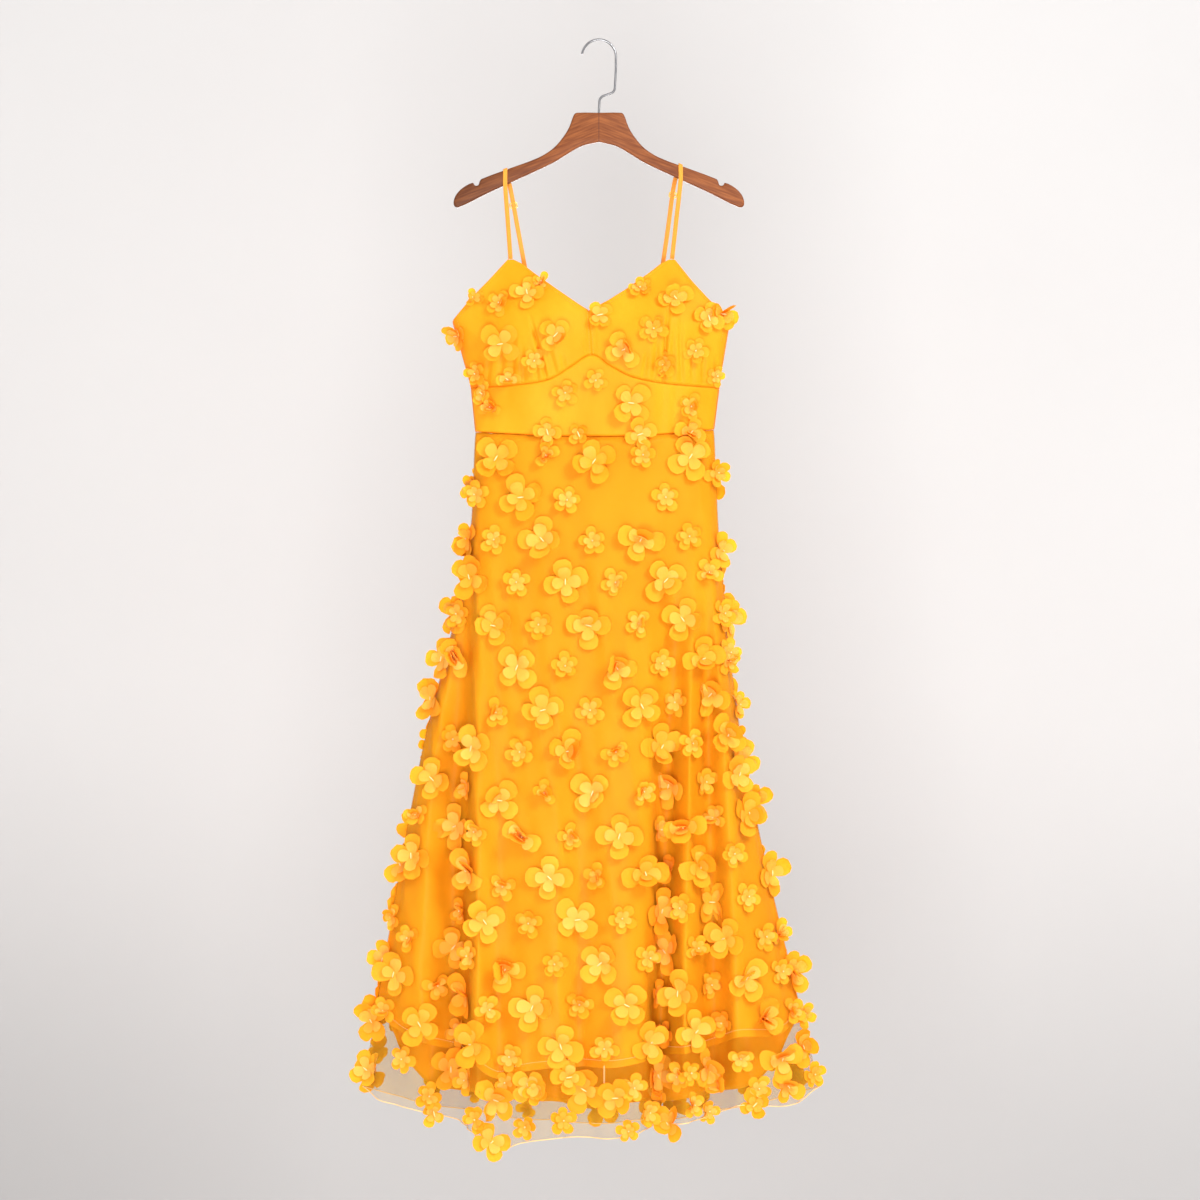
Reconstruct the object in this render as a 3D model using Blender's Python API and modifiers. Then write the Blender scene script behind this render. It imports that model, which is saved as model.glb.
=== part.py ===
"""Sundress on a wooden hanger, in metres with +Z up.

The origin is the inside top of the hook, where a rail carries it, and the front faces -Y.
Tables are in millimetres, with heights given as a drop below the origin. MM turns them into metres.
"""

import math
import random

import bmesh
import bpy
from mathutils import Matrix, Vector
from mathutils.geometry import delaunay_2d_cdt

MM = 0.001
FRONT = -1
BACK = 1

# Cloth
SEAM_GAP = 0.4
BODICE_WALL = 2.2
OVERLAY_WALL = 2.5
LINING_WALL = 1.5
LINING_SPACE = 0.5

# Angle step that gives the bodice's outward direction, and limits that keep a wall's corners short
TINY_ANGLE = 0.01
SIDE_MITRE_LIMIT = 0.65
FOLD_MITRE_LIMIT = 0.8
SHARP_ANGLE = math.radians(40)

# Flowers that stand on the overlay and the bodice
LARGE_RADIUS = 30.0
SMALL_RADIUS = 19.0
LARGE_HEIGHT = 10.0
SMALL_HEIGHT = 8.0
FLOWER_PITCH = 66.0
FLOWER_ROW_PITCH = 56.0
FLOWER_JITTER = 2.0
FLOWER_MARGIN = 3.5
SNAP_REACH = 3.0
# Spots of one petal: share of the radius, turn from the petal's middle in degrees, share of the height
LARGE_PETAL = (
    ("notch", 0.48, 45, 0.0),
    ("tip", 1.0, -26, 0.0),
    ("tip", 1.0, 26, 0.0),
    ("crown", 0.66, 0, 1.0),
)
SMALL_PETAL = (
    ("notch", 0.58, 36, 0.0),
    ("tip", 1.0, 0, 0.0),
)
LARGE_PETALS = 4
SMALL_PETALS = 5
LARGE_MIDDLE = 0.3
# Flowers of the front bodice, where few fit: panel, x, drop, radius, number of petals, turn in degrees
FRONT_FLOWERS = (
    ("cup_left", -134.0, 359.0, 19.0, 5, 10),
    ("cup_left", -96.0, 345.0, 22.0, 4, 20),
    ("cup_left", -58.5, 403.0, 24.0, 4, 60),
    ("cup_left", -131.0, 414.0, 28.0, 4, 45),
    ("cup_left", -88.0, 436.0, 17.0, 5, 30),
    ("cup_right", 101.5, 352.0, 24.0, 4, 75),
    ("cup_right", 146.0, 377.0, 22.0, 4, 15),
    ("cup_right", 34.7, 419.0, 26.0, 4, 50),
    ("cup_right", 130.0, 421.0, 18.0, 5, 80),
    ("cup_right", 89.0, 441.0, 18.0, 5, 40),
    ("cup_right", 73.0, 394.0, 19.0, 5, 0),
    ("midriff_front", -146.0, 496.0, 19.0, 5, 25),
    ("midriff_front", -46.0, 477.0, 18.0, 5, 55),
    ("midriff_front", -5.0, 461.0, 16.0, 5, 5),
    ("midriff_front", 44.5, 492.0, 28.0, 4, 35),
    ("midriff_front", 123.0, 496.0, 19.0, 5, 70),
)
PLACE_STEPS = 60

# Bodice levels: drop, left and right side of the flat outline, depth of the front and of the back
BODICE_LEVELS = (
    (297, -214.0, 198.0, 13.0, 9.0),
    (340, -207.0, 188.0, 27.0, 22.0),
    (380, -199.0, 178.5, 38.0, 31.0),
    (427, -184.5, 170.0, 42.0, 34.0),
    (468, -174.3, 164.0, 40.0, 34.0),
    (500, -169.8, 158.8, 37.0, 33.0),
    (537, -167.4, 156.0, 34.0, 31.0),
)
# Fullest points of the cups: x, drop, how far they stand out, spread
BUSTS = (
    (-89.0, 394.0, 17.0, 44.0),
    (90.0, 392.0, 17.0, 44.0),
)
# Seams across the front: x, drop
UNDERBUST_SEAM = (
    (-174.0, 471.0),
    (-115.0, 468.0),
    (-68.0, 461.0),
    (-40.0, 445.0),
    (-9.5, 427.5),
    (18.0, 444.0),
    (50.0, 459.0),
    (99.0, 467.0),
    (164.0, 471.0),
)
WAIST_SEAM = (
    (-168.0, 530.0),
    (-100.0, 534.5),
    (-10.0, 537.0),
    (70.0, 535.0),
    (156.0, 527.0),
)
# Cup edges from the underarm or the neck point up to the strap: x, drop
ARMHOLE_LEFT = ((-199.0, 380.0), (-171.5, 348.0), (-149.9, 326.0), (-123.6, 297.0))
ARMHOLE_RIGHT = ((178.5, 380.0), (145.8, 348.0), (125.6, 326.0), (103.0, 297.0))
NECK_POINT = (-13.5, 367.5)
NECKLINE_LEFT = (
    NECK_POINT,
    (-27.0, 358.7),
    (-58.0, 337.0),
    (-87.8, 315.5),
    (-104.0, 302.5),
    (-115.6, 297.0),
)
NECKLINE_RIGHT = (
    NECK_POINT,
    (12.2, 353.3),
    (37.8, 337.0),
    (67.5, 315.5),
    (84.0, 302.5),
    (95.0, 297.0),
)
CENTRE_SEAM_X = -9.5
CUP_COLUMNS = 8
CUP_ROWS = (0.0, 0.15, 0.30, 0.45, 0.58, 0.70, 0.80, 0.88, 0.95, 1.0)
MIDRIFF_ROWS = 3
BACK_COLUMNS = 14
BACK_ROWS = 4
BACK_EDGE_DROP = 380.0
BACK_EDGE_DIP = 8.0

# Skirt
HIP_DROP = 704.0
MID_DROP = 988.0
SKIRT_ROWS = 14
LINING_ROWS = 12
LINING_SHARE = 0.90
# Fold lines from the left side seam to the right one:
# name, x at hip, mid and hem, y at hip, mid and hem, drop of the hem edge
SIDE_LEFT = ("side_left", -179.6, -245.7, -321.3, 4, 20, 30, 1420)
SIDE_RIGHT = ("side_right", 166.0, 201.2, 299.7, 4, 18, 26, 1420)
FRONT_FOLDS = (
    SIDE_LEFT,
    ("gore_front", -178.4, -240.3, -297.0, -7, 3, 6, 1436),
    ("gore_crest", -176.0, -224.0, -248.0, -15, -15, -26, 1447),
    ("left_valley", -169.5, -191.5, -192.0, -27, -5, -2, 1462),
    ("left_ridge", -160.7, -165.0, -166.0, -36, -60, -83, 1476),
    ("left_shoulder", -137.7, -134.0, -136.5, -41, -54, -66, 1498),
    ("centre_left", -99.9, -101.0, -104.0, -44, -61, -80, 1486),
    ("centre_crest", -56.0, -56.0, -58.0, -46, -67, -89, 1479),
    ("centre_dip", -28.0, -26.0, -26.0, -45, -59, -73, 1478),
    ("middle_crest", 15.0, 17.6, 17.6, -46, -67, -91, 1479),
    ("right_shoulder", 62.0, 66.0, 56.0, -43, -59, -79, 1472),
    ("right_valley", 104.0, 93.0, 78.0, -36, -22, -19, 1465),
    ("right_ridge", 129.6, 121.5, 113.5, -33, -55, -80, 1460),
    ("outer_valley", 143.0, 147.0, 158.0, -27, -21, -22, 1452),
    ("band_crest", 152.5, 172.0, 193.0, -21, -37, -60, 1437),
    ("side_crest", 162.0, 193.0, 258.0, -10, -8, -22, 1441),
    SIDE_RIGHT,
)
BACK_FOLDS = (
    SIDE_LEFT,
    ("back_gore_left", -172.0, -226.0, -284.0, 17, 45, 64, 1434),
    ("back_valley_left", -152.0, -192.0, -228.0, 27, 34, 36, 1446),
    ("back_ridge_left", -122.0, -150.0, -172.0, 35, 58, 86, 1458),
    ("back_dip_left", -86.0, -104.0, -118.0, 38, 47, 56, 1466),
    ("back_crest_left", -44.0, -54.0, -62.0, 41, 63, 92, 1472),
    ("back_centre", -4.0, 0.0, 0.0, 40, 51, 62, 1474),
    ("back_crest_right", 38.0, 50.0, 60.0, 41, 61, 90, 1472),
    ("back_dip_right", 78.0, 98.0, 110.0, 38, 45, 52, 1466),
    ("back_ridge_right", 112.0, 138.0, 162.0, 34, 58, 84, 1458),
    ("back_valley_right", 140.0, 166.0, 208.0, 26, 33, 36, 1446),
    ("back_gore_right", 158.5, 190.0, 262.0, 16, 40, 60, 1434),
    SIDE_RIGHT,
)

# Hanger: half outline of the bar from its middle to its tip and back, x and drop
HANGER_HALF = (
    (0.0, 97.7),
    (31.5, 97.7),
    (34.0, 100.5),
    (40.0, 116.5),
    (48.0, 130.0),
    (62.0, 146.0),
    (82.0, 158.5),
    (119.0, 172.4),
    (158.7, 187.2),
    (161.5, 190.5),
    (163.5, 195.8),
    (168.0, 196.2),
    (171.0, 192.6),
    (184.0, 199.0),
    (193.0, 208.0),
    (196.7, 217.0),
    (196.0, 224.0),
    (190.0, 226.0),
    (150.0, 206.5),
    (112.0, 189.0),
    (62.0, 165.6),
    (40.0, 152.0),
    (22.0, 142.5),
    (0.0, 137.3),
)
HANGER_THICKNESS = 13.0
HANGER_ROUNDING = 3.0
HANGER_SLOPE = math.radians(20.5)
MERGE_DISTANCE = 0.00001
HOOK_WIRE = 3.5
HOOK_RADIUS = 23.0
HOOK_TIP_ANGLE = 172
HOOK_STEP_ANGLE = 12
HOOK_SHANK = ((23.0, 40.0), (21.2, 69.5), (1.0, 76.5), (0.0, 94.0), (0.0, 109.0))
HOOK_CORNER = 6.0
HOOK_CORNER_STEPS = 4
BORE_RADIUS = 2.2
BORE_DEPTH = 13.5

# Straps: side, x and drop of the front end and of the top, x where the strap leaves the bar behind and
# of its back end
STRAPS = (
    ("left", -119.6, 296.6, -126.9, 173.6, -121.0, -85.5),
    ("right", 99.0, 296.6, 110.7, 167.4, 103.0, 74.8),
)
STRAP_WIDTH = 6.0
STRAP_THICKNESS = 1.2
STRAP_CLEAR = 1.3
STRAP_BEND = 4.0
STRAP_BEND_STEPS = 8
STRAP_LEAVES_BAR = 22.0
STRAP_FALL_STEPS = 3
BANK_LENGTH = 22.0
SLIDER_DROPS = {"left": 222.3, "right": 208.2}
RING_DROP = 350.0
SLIDER_SIZE = (10.0, 4.6, 7.5)
RING_SIZE = (10.0, 4.6, 2.4)
LOOP_HOLE = (7.2, 2.4)


def smooth_through(knots, place):
    """Value at a place on a smooth curve through (place, value) knots, which rise in place."""
    if place <= knots[0][0]:
        return knots[0][1]
    if place >= knots[-1][0]:
        return knots[-1][1]
    k = max(i for i in range(len(knots) - 1) if knots[i][0] <= place)
    before, start = knots[max(k - 1, 0)], knots[k]
    end, after = knots[k + 1], knots[min(k + 2, len(knots) - 1)]
    span = end[0] - start[0]
    slope_in = (end[1] - before[1]) / (end[0] - before[0]) * span
    slope_out = (after[1] - start[1]) / (after[0] - start[0]) * span
    t = (place - start[0]) / span
    return (
        start[1] * (2 * t**3 - 3 * t**2 + 1)
        + slope_in * (t**3 - 2 * t**2 + t)
        + end[1] * (3 * t**2 - 2 * t**3)
        + slope_out * (t**3 - t**2)
    )


def mix(a, b, t):
    return a + (b - a) * t


def along(points, share):
    """The (x, drop) at a share of a path's length."""
    lengths = [math.dist(a, b) for a, b in zip(points, points[1:])]
    left = share * sum(lengths)
    for a, b, length in zip(points, points[1:], lengths):
        if left <= length + 1e-9:
            return mix(a[0], b[0], left / length), mix(a[1], b[1], left / length)
        left -= length
    return points[-1]


# ---------------------------------------------------------------- shared forms


def body_level(drop):
    """Left, right, front depth and back depth of the bodice at a drop."""
    return [smooth_through([(row[0], row[c]) for row in BODICE_LEVELS], drop) for c in (1, 2, 3, 4)]


def body_point(side, angle, drop):
    """A point of the bodice: angle 0 is the left side seam and pi the right one."""
    left, right, front, back = body_level(drop)
    x = (left + right) / 2 - (right - left) / 2 * math.cos(angle)
    y = side * (front if side == FRONT else back) * math.sin(angle)
    if side == FRONT:
        for bust_x, bust_drop, proud, spread in BUSTS:
            away = (x - bust_x) ** 2 + (drop - bust_drop) ** 2
            y -= proud * math.exp(-away / (2 * spread**2)) * math.sin(angle)
    return Vector((x, y + side * SEAM_GAP / 2, -drop))


def body_frame(side, x, drop):
    """The bodice's point and outward normal at this x and drop."""
    left, right = body_level(drop)[:2]
    cosine = (left + right - 2 * x) / (right - left)
    angle = math.acos(max(-1.0, min(1.0, cosine)))
    across = body_point(side, angle + TINY_ANGLE, drop) - body_point(side, angle - TINY_ANGLE, drop)
    upward = body_point(side, angle, drop - 1) - body_point(side, angle, drop + 1)
    normal = across.cross(upward).normalized() * -side
    return body_point(side, angle, drop), normal


def fold_point(side, fold, share):
    """A point of the skirt on one fold line, at a share of the way from waist to hem."""
    x_hip, x_mid, x_hem, y_hip, y_mid, y_hem, hem_drop = fold[1:]
    across = (x_hip - SIDE_LEFT[1]) / (SIDE_RIGHT[1] - SIDE_LEFT[1])
    left, right, front, back = body_level(WAIST_SEAM[0][1])
    x_waist = mix(left, right, across)
    y_waist = side * (front if side == FRONT else back) * math.sqrt(1 - (2 * across - 1) ** 2)
    waist_drop = smooth_through(WAIST_SEAM, x_waist) + SEAM_GAP
    drop = mix(waist_drop, hem_drop, share)
    levels = (waist_drop, HIP_DROP, MID_DROP, hem_drop)
    x = smooth_through(list(zip(levels, (x_waist, x_hip, x_mid, x_hem))), drop)
    y = smooth_through(list(zip(levels, (y_waist, y_hip, y_mid, y_hem))), drop)
    return Vector((x, y + side * SEAM_GAP / 2, -drop))


def mitred_normal(side, points, j, i):
    """Outward direction at a grid point, long enough to keep a wall's thickness on both sides."""
    upward = points[max(j - 1, 0)][i] - points[min(j + 1, len(points) - 1)][i]
    last = len(points[j]) - 1
    steps = []
    if i > 0:
        steps.append(points[j][i] - points[j][i - 1])
    if i < last:
        steps.append(points[j][i + 1] - points[j][i])
    sides = [step.cross(upward).normalized() * -side for step in steps]
    if i in (0, last):
        outward = Vector((-1.0 if i == 0 else 1.0, 0.0, 0.0))
        return outward / max(SIDE_MITRE_LIMIT, outward.dot(sides[0]))
    normal = (sides[0] + sides[1]) / max(FOLD_MITRE_LIMIT, 1 + sides[0].dot(sides[1]))
    if j == 0:
        normal.z = 0.0
    return normal


# ---------------------------------------------------------------- grids of the panels
# A grid is a list of rows from top to hem, each a list of (point, outward normal) from left to right.


def skirt_grid(side, folds, rows, shares):
    points = [[fold_point(side, fold, shares[j]) for fold in folds] for j in range(rows + 1)]
    return [
        [(points[j][i], mitred_normal(side, points, j, i)) for i in range(len(folds))]
        for j in range(rows + 1)
    ]


def skirt_shares():
    """Heights of the grid's rows, with one row exactly at the lining's hem."""
    upper = [LINING_SHARE * j / LINING_ROWS for j in range(LINING_ROWS + 1)]
    below = SKIRT_ROWS - LINING_ROWS
    return upper + [mix(LINING_SHARE, 1.0, (k + 1) / below) for k in range(below)]


def cup_grid(armhole, neckline, sign):
    """Rows run from the strap tip down to the underbust seam. sign is -1 for the left cup."""
    side_x = body_level(armhole[0][1])[0 if sign < 0 else 1]
    low_x = body_level(UNDERBUST_SEAM[0][1])[0 if sign < 0 else 1]
    outer = [(low_x, UNDERBUST_SEAM[0][1]), (side_x, armhole[0][1]), *armhole[1:]]
    seam_shift = sign * SEAM_GAP / 2
    seam_drop = smooth_through(UNDERBUST_SEAM, CENTRE_SEAM_X)
    inner = [(CENTRE_SEAM_X + seam_shift, seam_drop)]
    inner += [(NECK_POINT[0] + seam_shift, NECK_POINT[1]), *neckline[1:]]
    grid = []
    for share in reversed(CUP_ROWS):
        row = []
        for c in range(CUP_COLUMNS + 1):
            t = c / CUP_COLUMNS if sign < 0 else 1 - c / CUP_COLUMNS
            side_point, middle_point = along(outer, share), along(inner, share)
            x = mix(side_point[0], middle_point[0], t)
            drop = mix(side_point[1], middle_point[1], t)
            seam_x = mix(outer[0][0], inner[0][0], t)
            bow = smooth_through(UNDERBUST_SEAM, seam_x) - mix(outer[0][1], inner[0][1], t)
            row.append(body_frame(FRONT, x, drop + bow * (1 - share) ** 2))
        grid.append(row)
    return grid


def midriff_grid():
    left, right = body_level(UNDERBUST_SEAM[0][1])[:2]
    low_left, low_right = body_level(WAIST_SEAM[0][1])[:2]
    half = [k / CUP_COLUMNS for k in range(CUP_COLUMNS + 1)]
    tops = [mix(left, CENTRE_SEAM_X, t) for t in half]
    tops += [mix(CENTRE_SEAM_X, right, t) for t in half[1:]]
    grid = []
    for j in range(MIDRIFF_ROWS + 1):
        row = []
        for x in tops:
            top = smooth_through(UNDERBUST_SEAM, x) + SEAM_GAP
            low_x = mix(low_left, low_right, (x - left) / (right - left))
            low = smooth_through(WAIST_SEAM, low_x)
            t = j / MIDRIFF_ROWS
            row.append(body_frame(FRONT, mix(x, low_x, t), mix(top, low, t)))
        grid.append(row)
    return grid


def back_edge(x):
    """Drop of the back's upper edge at this x."""
    left, right = body_level(BACK_EDGE_DROP)[:2]
    across = max(0.0, min(1.0, (x - left) / (right - left)))
    return BACK_EDGE_DROP + BACK_EDGE_DIP * 2 * math.sqrt(across * (1 - across))


def back_grid():
    left, right = body_level(BACK_EDGE_DROP)[:2]
    low_left, low_right = body_level(WAIST_SEAM[0][1])[:2]
    grid = []
    for j in range(BACK_ROWS + 1):
        row = []
        for i in range(BACK_COLUMNS + 1):
            across = (1 - math.cos(math.pi * i / BACK_COLUMNS)) / 2
            top = back_edge(mix(left, right, across))
            low = smooth_through(WAIST_SEAM, mix(low_left, low_right, across))
            drop = mix(top, low, j / BACK_ROWS)
            row_left, row_right = body_level(drop)[:2]
            row.append(body_frame(BACK, mix(row_left, row_right, across), drop))
        grid.append(row)
    return grid


# ---------------------------------------------------------------- flat pattern and flowers


class Pattern:
    """A panel laid flat: u runs along each row from its middle and v down the panel."""

    def __init__(self, grid):
        self.grid = grid
        self.rows = []
        for row in grid:
            steps = [(b[0] - a[0]).length for a, b in zip(row, row[1:])]
            places = [sum(steps[:i]) - sum(steps) / 2 for i in range(len(row))]
            self.rows.append(places)
        self.v = [0.0]
        for upper, lower in zip(grid, grid[1:]):
            drops = [(b[0] - a[0]).length for a, b in zip(upper, lower)]
            self.v.append(self.v[-1] + sum(drops) / len(drops))

    def row_at(self, v):
        j = max(k for k in range(len(self.v) - 1) if self.v[k] <= max(v, 0.0))
        return j, (v - self.v[j]) / (self.v[j + 1] - self.v[j])

    def lines_at(self, v):
        j, t = self.row_at(v)
        return [mix(a, b, t) for a, b in zip(self.rows[j], self.rows[j + 1])]

    def flat_place(self, x, drop):
        """The flat place of the point at this x and drop, found by stepping towards it."""
        u, v = 0.0, self.v[-1] / 2
        for _ in range(PLACE_STEPS):
            point = self.frame_at(u, v)[0]
            u += x - point.x
            v += drop + point.z
        return u, v

    def frame_at(self, u, v):
        """The 3-D point and outward normal of a flat place."""
        j, t = self.row_at(v)
        lines = self.lines_at(v)
        i = max([k for k in range(len(lines) - 1) if lines[k] <= u] or [0])
        s = (u - lines[i]) / (lines[i + 1] - lines[i])
        upper = [mix(self.grid[j][i][k], self.grid[j][i + 1][k], s) for k in (0, 1)]
        lower = [mix(self.grid[j + 1][i][k], self.grid[j + 1][i + 1][k], s) for k in (0, 1)]
        return mix(upper[0], lower[0], t), mix(upper[1], lower[1], t)


def flower_places(pattern, seed):
    """Staggered rows of large and small flowers in turn, clear of the edges and of each other."""
    dice = random.Random(seed)
    flowers = []
    length = pattern.v[-1]
    reach = int(max(pattern.rows[0][-1], pattern.rows[-1][-1]) / FLOWER_PITCH) + 1
    for row in range(int(length / FLOWER_ROW_PITCH) + 1):
        for k in range(-reach, reach + 1):
            u = (k + row % 2 / 2) * FLOWER_PITCH + dice.uniform(-FLOWER_JITTER, FLOWER_JITTER)
            v = (row + 0.5) * FLOWER_ROW_PITCH + dice.uniform(-FLOWER_JITTER, FLOWER_JITTER)
            turn = dice.uniform(0, math.tau)
            large = (k + row // 2) % 2 == 0
            radius = LARGE_RADIUS if large else SMALL_RADIUS
            margin = radius + FLOWER_MARGIN
            v = min(max(v, margin), length - margin)
            lines = pattern.lines_at(v)
            if not lines[0] < u < lines[-1] or lines[-1] - lines[0] < 2 * margin:
                continue
            u = min(max(u, lines[0] + margin), lines[-1] - margin)
            ends = [pattern.lines_at(v + side * radius) for side in (-1, 1)]
            inside = all(row[0] + radius / 2 < u < row[-1] - radius / 2 for row in ends)
            clear = all(math.dist((u, v), near[:2]) > radius + near[2] for near in flowers)
            if inside and clear:
                flowers.append((u, v, radius, large, turn))
    return flowers


def front_flowers(pattern, panel):
    """The flowers that the table puts on a panel."""
    return [
        (*pattern.flat_place(x, drop), radius, petals == LARGE_PETALS, math.radians(turn))
        for name, x, drop, radius, petals, turn in FRONT_FLOWERS
        if name == panel
    ]


class Flower:
    """Flat spots of one flower with their heights, and the triangles between them."""

    def __init__(self, pattern, place):
        self.u, self.v, self.radius, large, turn = place
        if large:
            petal_spots, petals, height, middle = LARGE_PETAL, LARGE_PETALS, LARGE_HEIGHT, LARGE_MIDDLE
        else:
            petal_spots, petals, height, middle = SMALL_PETAL, SMALL_PETALS, SMALL_HEIGHT, 1.0
        self.spots = [(self.u, self.v, height * middle)]
        self.triangles = []
        self.on_line = {}
        count = len(petal_spots)
        for k in range(petals):
            for _, share, degrees, rise in petal_spots:
                angle = turn + math.tau * k / petals + math.radians(degrees)
                u = self.u + share * self.radius * math.cos(angle)
                v = self.v + share * self.radius * math.sin(angle)
                lines = pattern.lines_at(v)
                u = min(max(u, lines[0] + FLOWER_MARGIN), lines[-1] - FLOWER_MARGIN)
                near = min(range(1, len(lines) - 1), key=lambda i: abs(lines[i] - u))
                if abs(lines[near] - u) < SNAP_REACH:
                    u = lines[near]
                    self.on_line[len(self.spots)] = near
                self.spots.append((u, v, height * rise))
            first = 1 + k * count
            before = 1 + (k - 1) % petals * count
            if large:
                ring = [before, first + 1, first + 2, first]
                self.triangles += [(first + 3, a, b) for a, b in zip(ring, ring[1:])]
                self.triangles += [(0, before, first + 3), (0, first + 3, first)]
            else:
                self.triangles += [(0, before, first + 1), (0, first + 1, first)]

    def height_at(self, u, v):
        if math.hypot(u - self.u, v - self.v) > self.radius + SNAP_REACH:
            return 0.0
        for corners in self.triangles:
            (ua, va, ha), (ub, vb, hb), (uc, vc, hc) = [self.spots[k] for k in corners]
            area = (ub - ua) * (vc - va) - (uc - ua) * (vb - va)
            b = ((u - ua) * (vc - va) - (uc - ua) * (v - va)) / area
            c = ((ub - ua) * (v - va) - (u - ua) * (vb - va)) / area
            if min(b, c, 1 - b - c) >= -1e-6:
                return (1 - b - c) * ha + b * hb + c * hc
        return 0.0


def height_at(flowers, u, v):
    """How far the petals stand off the cloth at a flat place."""
    return max([flower.height_at(u, v) for flower in flowers] or [0.0])


def raised_outer(bm, pattern, flowers, outer):
    """Triangles of a flowered panel's outer side, with its fold lines and petals as edges."""
    columns = len(outer[0])
    flats = [Vector((u, v)) for row, v in zip(pattern.rows, pattern.v) for u in row]
    verts = [vert for row in outer for vert in row]
    last = len(outer) - 1
    edges = [(j * columns + k, j * columns + k + 1) for j in (0, last) for k in range(columns - 1)]
    chains = [[(v, j * columns + i) for j, v in enumerate(pattern.v)] for i in range(columns)]

    def new_vert(u, v, height):
        point, normal = pattern.frame_at(u, v)
        return bm.verts.new((point + normal * height) * MM)

    for flower in flowers:
        first = len(flats)
        for k, (u, v, height) in enumerate(flower.spots):
            flats.append(Vector((u, v)))
            verts.append(new_vert(u, v, height))
            if k in flower.on_line:
                chains[flower.on_line[k]].append((v, first + k))
        for corners in flower.triangles:
            edges += [(first + a, first + b) for a, b in zip(corners, corners[1:] + corners[:1])]
    for chain in chains:
        chain.sort()
        edges += [(a[1], b[1]) for a, b in zip(chain, chain[1:])]
    places, _, triangles, origins, _, _ = delaunay_2d_cdt(flats, edges, [], 1, 1e-4)
    made = []
    for place, origin in zip(places, origins):
        if origin:
            made.append(verts[origin[0]])
        else:
            made.append(new_vert(place.x, place.y, height_at(flowers, place.x, place.y)))
    for triangle in triangles:
        bm.faces.new([made[k] for k in triangle])


# ---------------------------------------------------------------- solids


def plain_material(name, colour, roughness, metallic=0.0):
    material = bpy.data.materials.new(name)
    material.use_nodes = True
    shader = material.node_tree.nodes["Principled BSDF"]
    shader.inputs["Base Color"].default_value = (*colour, 1.0)
    shader.inputs["Roughness"].default_value = roughness
    shader.inputs["Metallic"].default_value = metallic
    return material


def add_object(name, data, material, collection):
    obj = bpy.data.objects.new(name, data)
    data.materials.append(material)
    collection.objects.link(obj)
    return obj


def mesh_object(name, bm, material, collection):
    mesh = bpy.data.meshes.new(name)
    bm.to_mesh(mesh)
    bm.free()
    mesh.shade_smooth()
    mesh.set_sharp_from_angle(angle=SHARP_ANGLE)
    return add_object(name, mesh, material, collection)


def cloth_wall(name, grid, inset, thickness, material, collection, seed=None):
    """A closed wall of cloth through a grid, its outer side inset from the grid's points."""
    bm = bmesh.new()
    pattern = Pattern(grid)
    places = front_flowers(pattern, name) if seed is None else flower_places(pattern, seed)
    flowers = [Flower(pattern, place) for place in places]
    outer = []
    inner = []
    for j, row in enumerate(grid):
        outer.append([])
        inner.append([])
        for i, (point, normal) in enumerate(row):
            edge = j in (0, len(grid) - 1) or i in (0, len(row) - 1)
            rise = 0.0 if edge else height_at(flowers, pattern.rows[j][i], pattern.v[j])
            outer[-1].append(bm.verts.new((point + normal * (rise - inset)) * MM))
            inner[-1].append(bm.verts.new((point - normal * (inset + thickness)) * MM))
    if flowers:
        raised_outer(bm, pattern, flowers, outer)
    for layer in ([inner] if flowers else [outer, inner]):
        for upper, lower in zip(layer, layer[1:]):
            for i in range(len(upper) - 1):
                bm.faces.new((upper[i], upper[i + 1], lower[i + 1], lower[i]))
    rim_outer = outer[0] + [row[-1] for row in outer[1:]]
    rim_outer += outer[-1][-2::-1] + [row[0] for row in outer[-2:0:-1]]
    rim_inner = inner[0] + [row[-1] for row in inner[1:]]
    rim_inner += inner[-1][-2::-1] + [row[0] for row in inner[-2:0:-1]]
    for k in range(len(rim_outer)):
        n = (k + 1) % len(rim_outer)
        bm.faces.new((rim_outer[k], rim_outer[n], rim_inner[n], rim_inner[k]))
    bmesh.ops.triangulate(bm, faces=bm.faces[:])
    bmesh.ops.recalc_face_normals(bm, faces=bm.faces[:])
    return mesh_object(name, bm, material, collection)


def build_dress(collection, cloth, lining):
    shares = skirt_shares()
    front = skirt_grid(FRONT, FRONT_FOLDS, SKIRT_ROWS, shares)
    back = skirt_grid(BACK, BACK_FOLDS, SKIRT_ROWS, shares)
    panels = (
        ("cup_left", cup_grid(ARMHOLE_LEFT, NECKLINE_LEFT, -1), BODICE_WALL, None),
        ("cup_right", cup_grid(ARMHOLE_RIGHT, NECKLINE_RIGHT, 1), BODICE_WALL, None),
        ("midriff_front", midriff_grid(), BODICE_WALL, None),
        ("bodice_back", back_grid(), BODICE_WALL, 14),
        ("skirt_front", front, OVERLAY_WALL, 15),
        ("skirt_back", back, OVERLAY_WALL, 16),
    )
    for name, grid, thickness, seed in panels:
        cloth_wall(name, grid, 0.0, thickness, cloth, collection, seed)
    inset = OVERLAY_WALL + LINING_SPACE
    for name, grid in (("lining_front", front), ("lining_back", back)):
        upper = grid[: LINING_ROWS + 1]
        cloth_wall(name, upper, inset, LINING_WALL, lining, collection)


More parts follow.
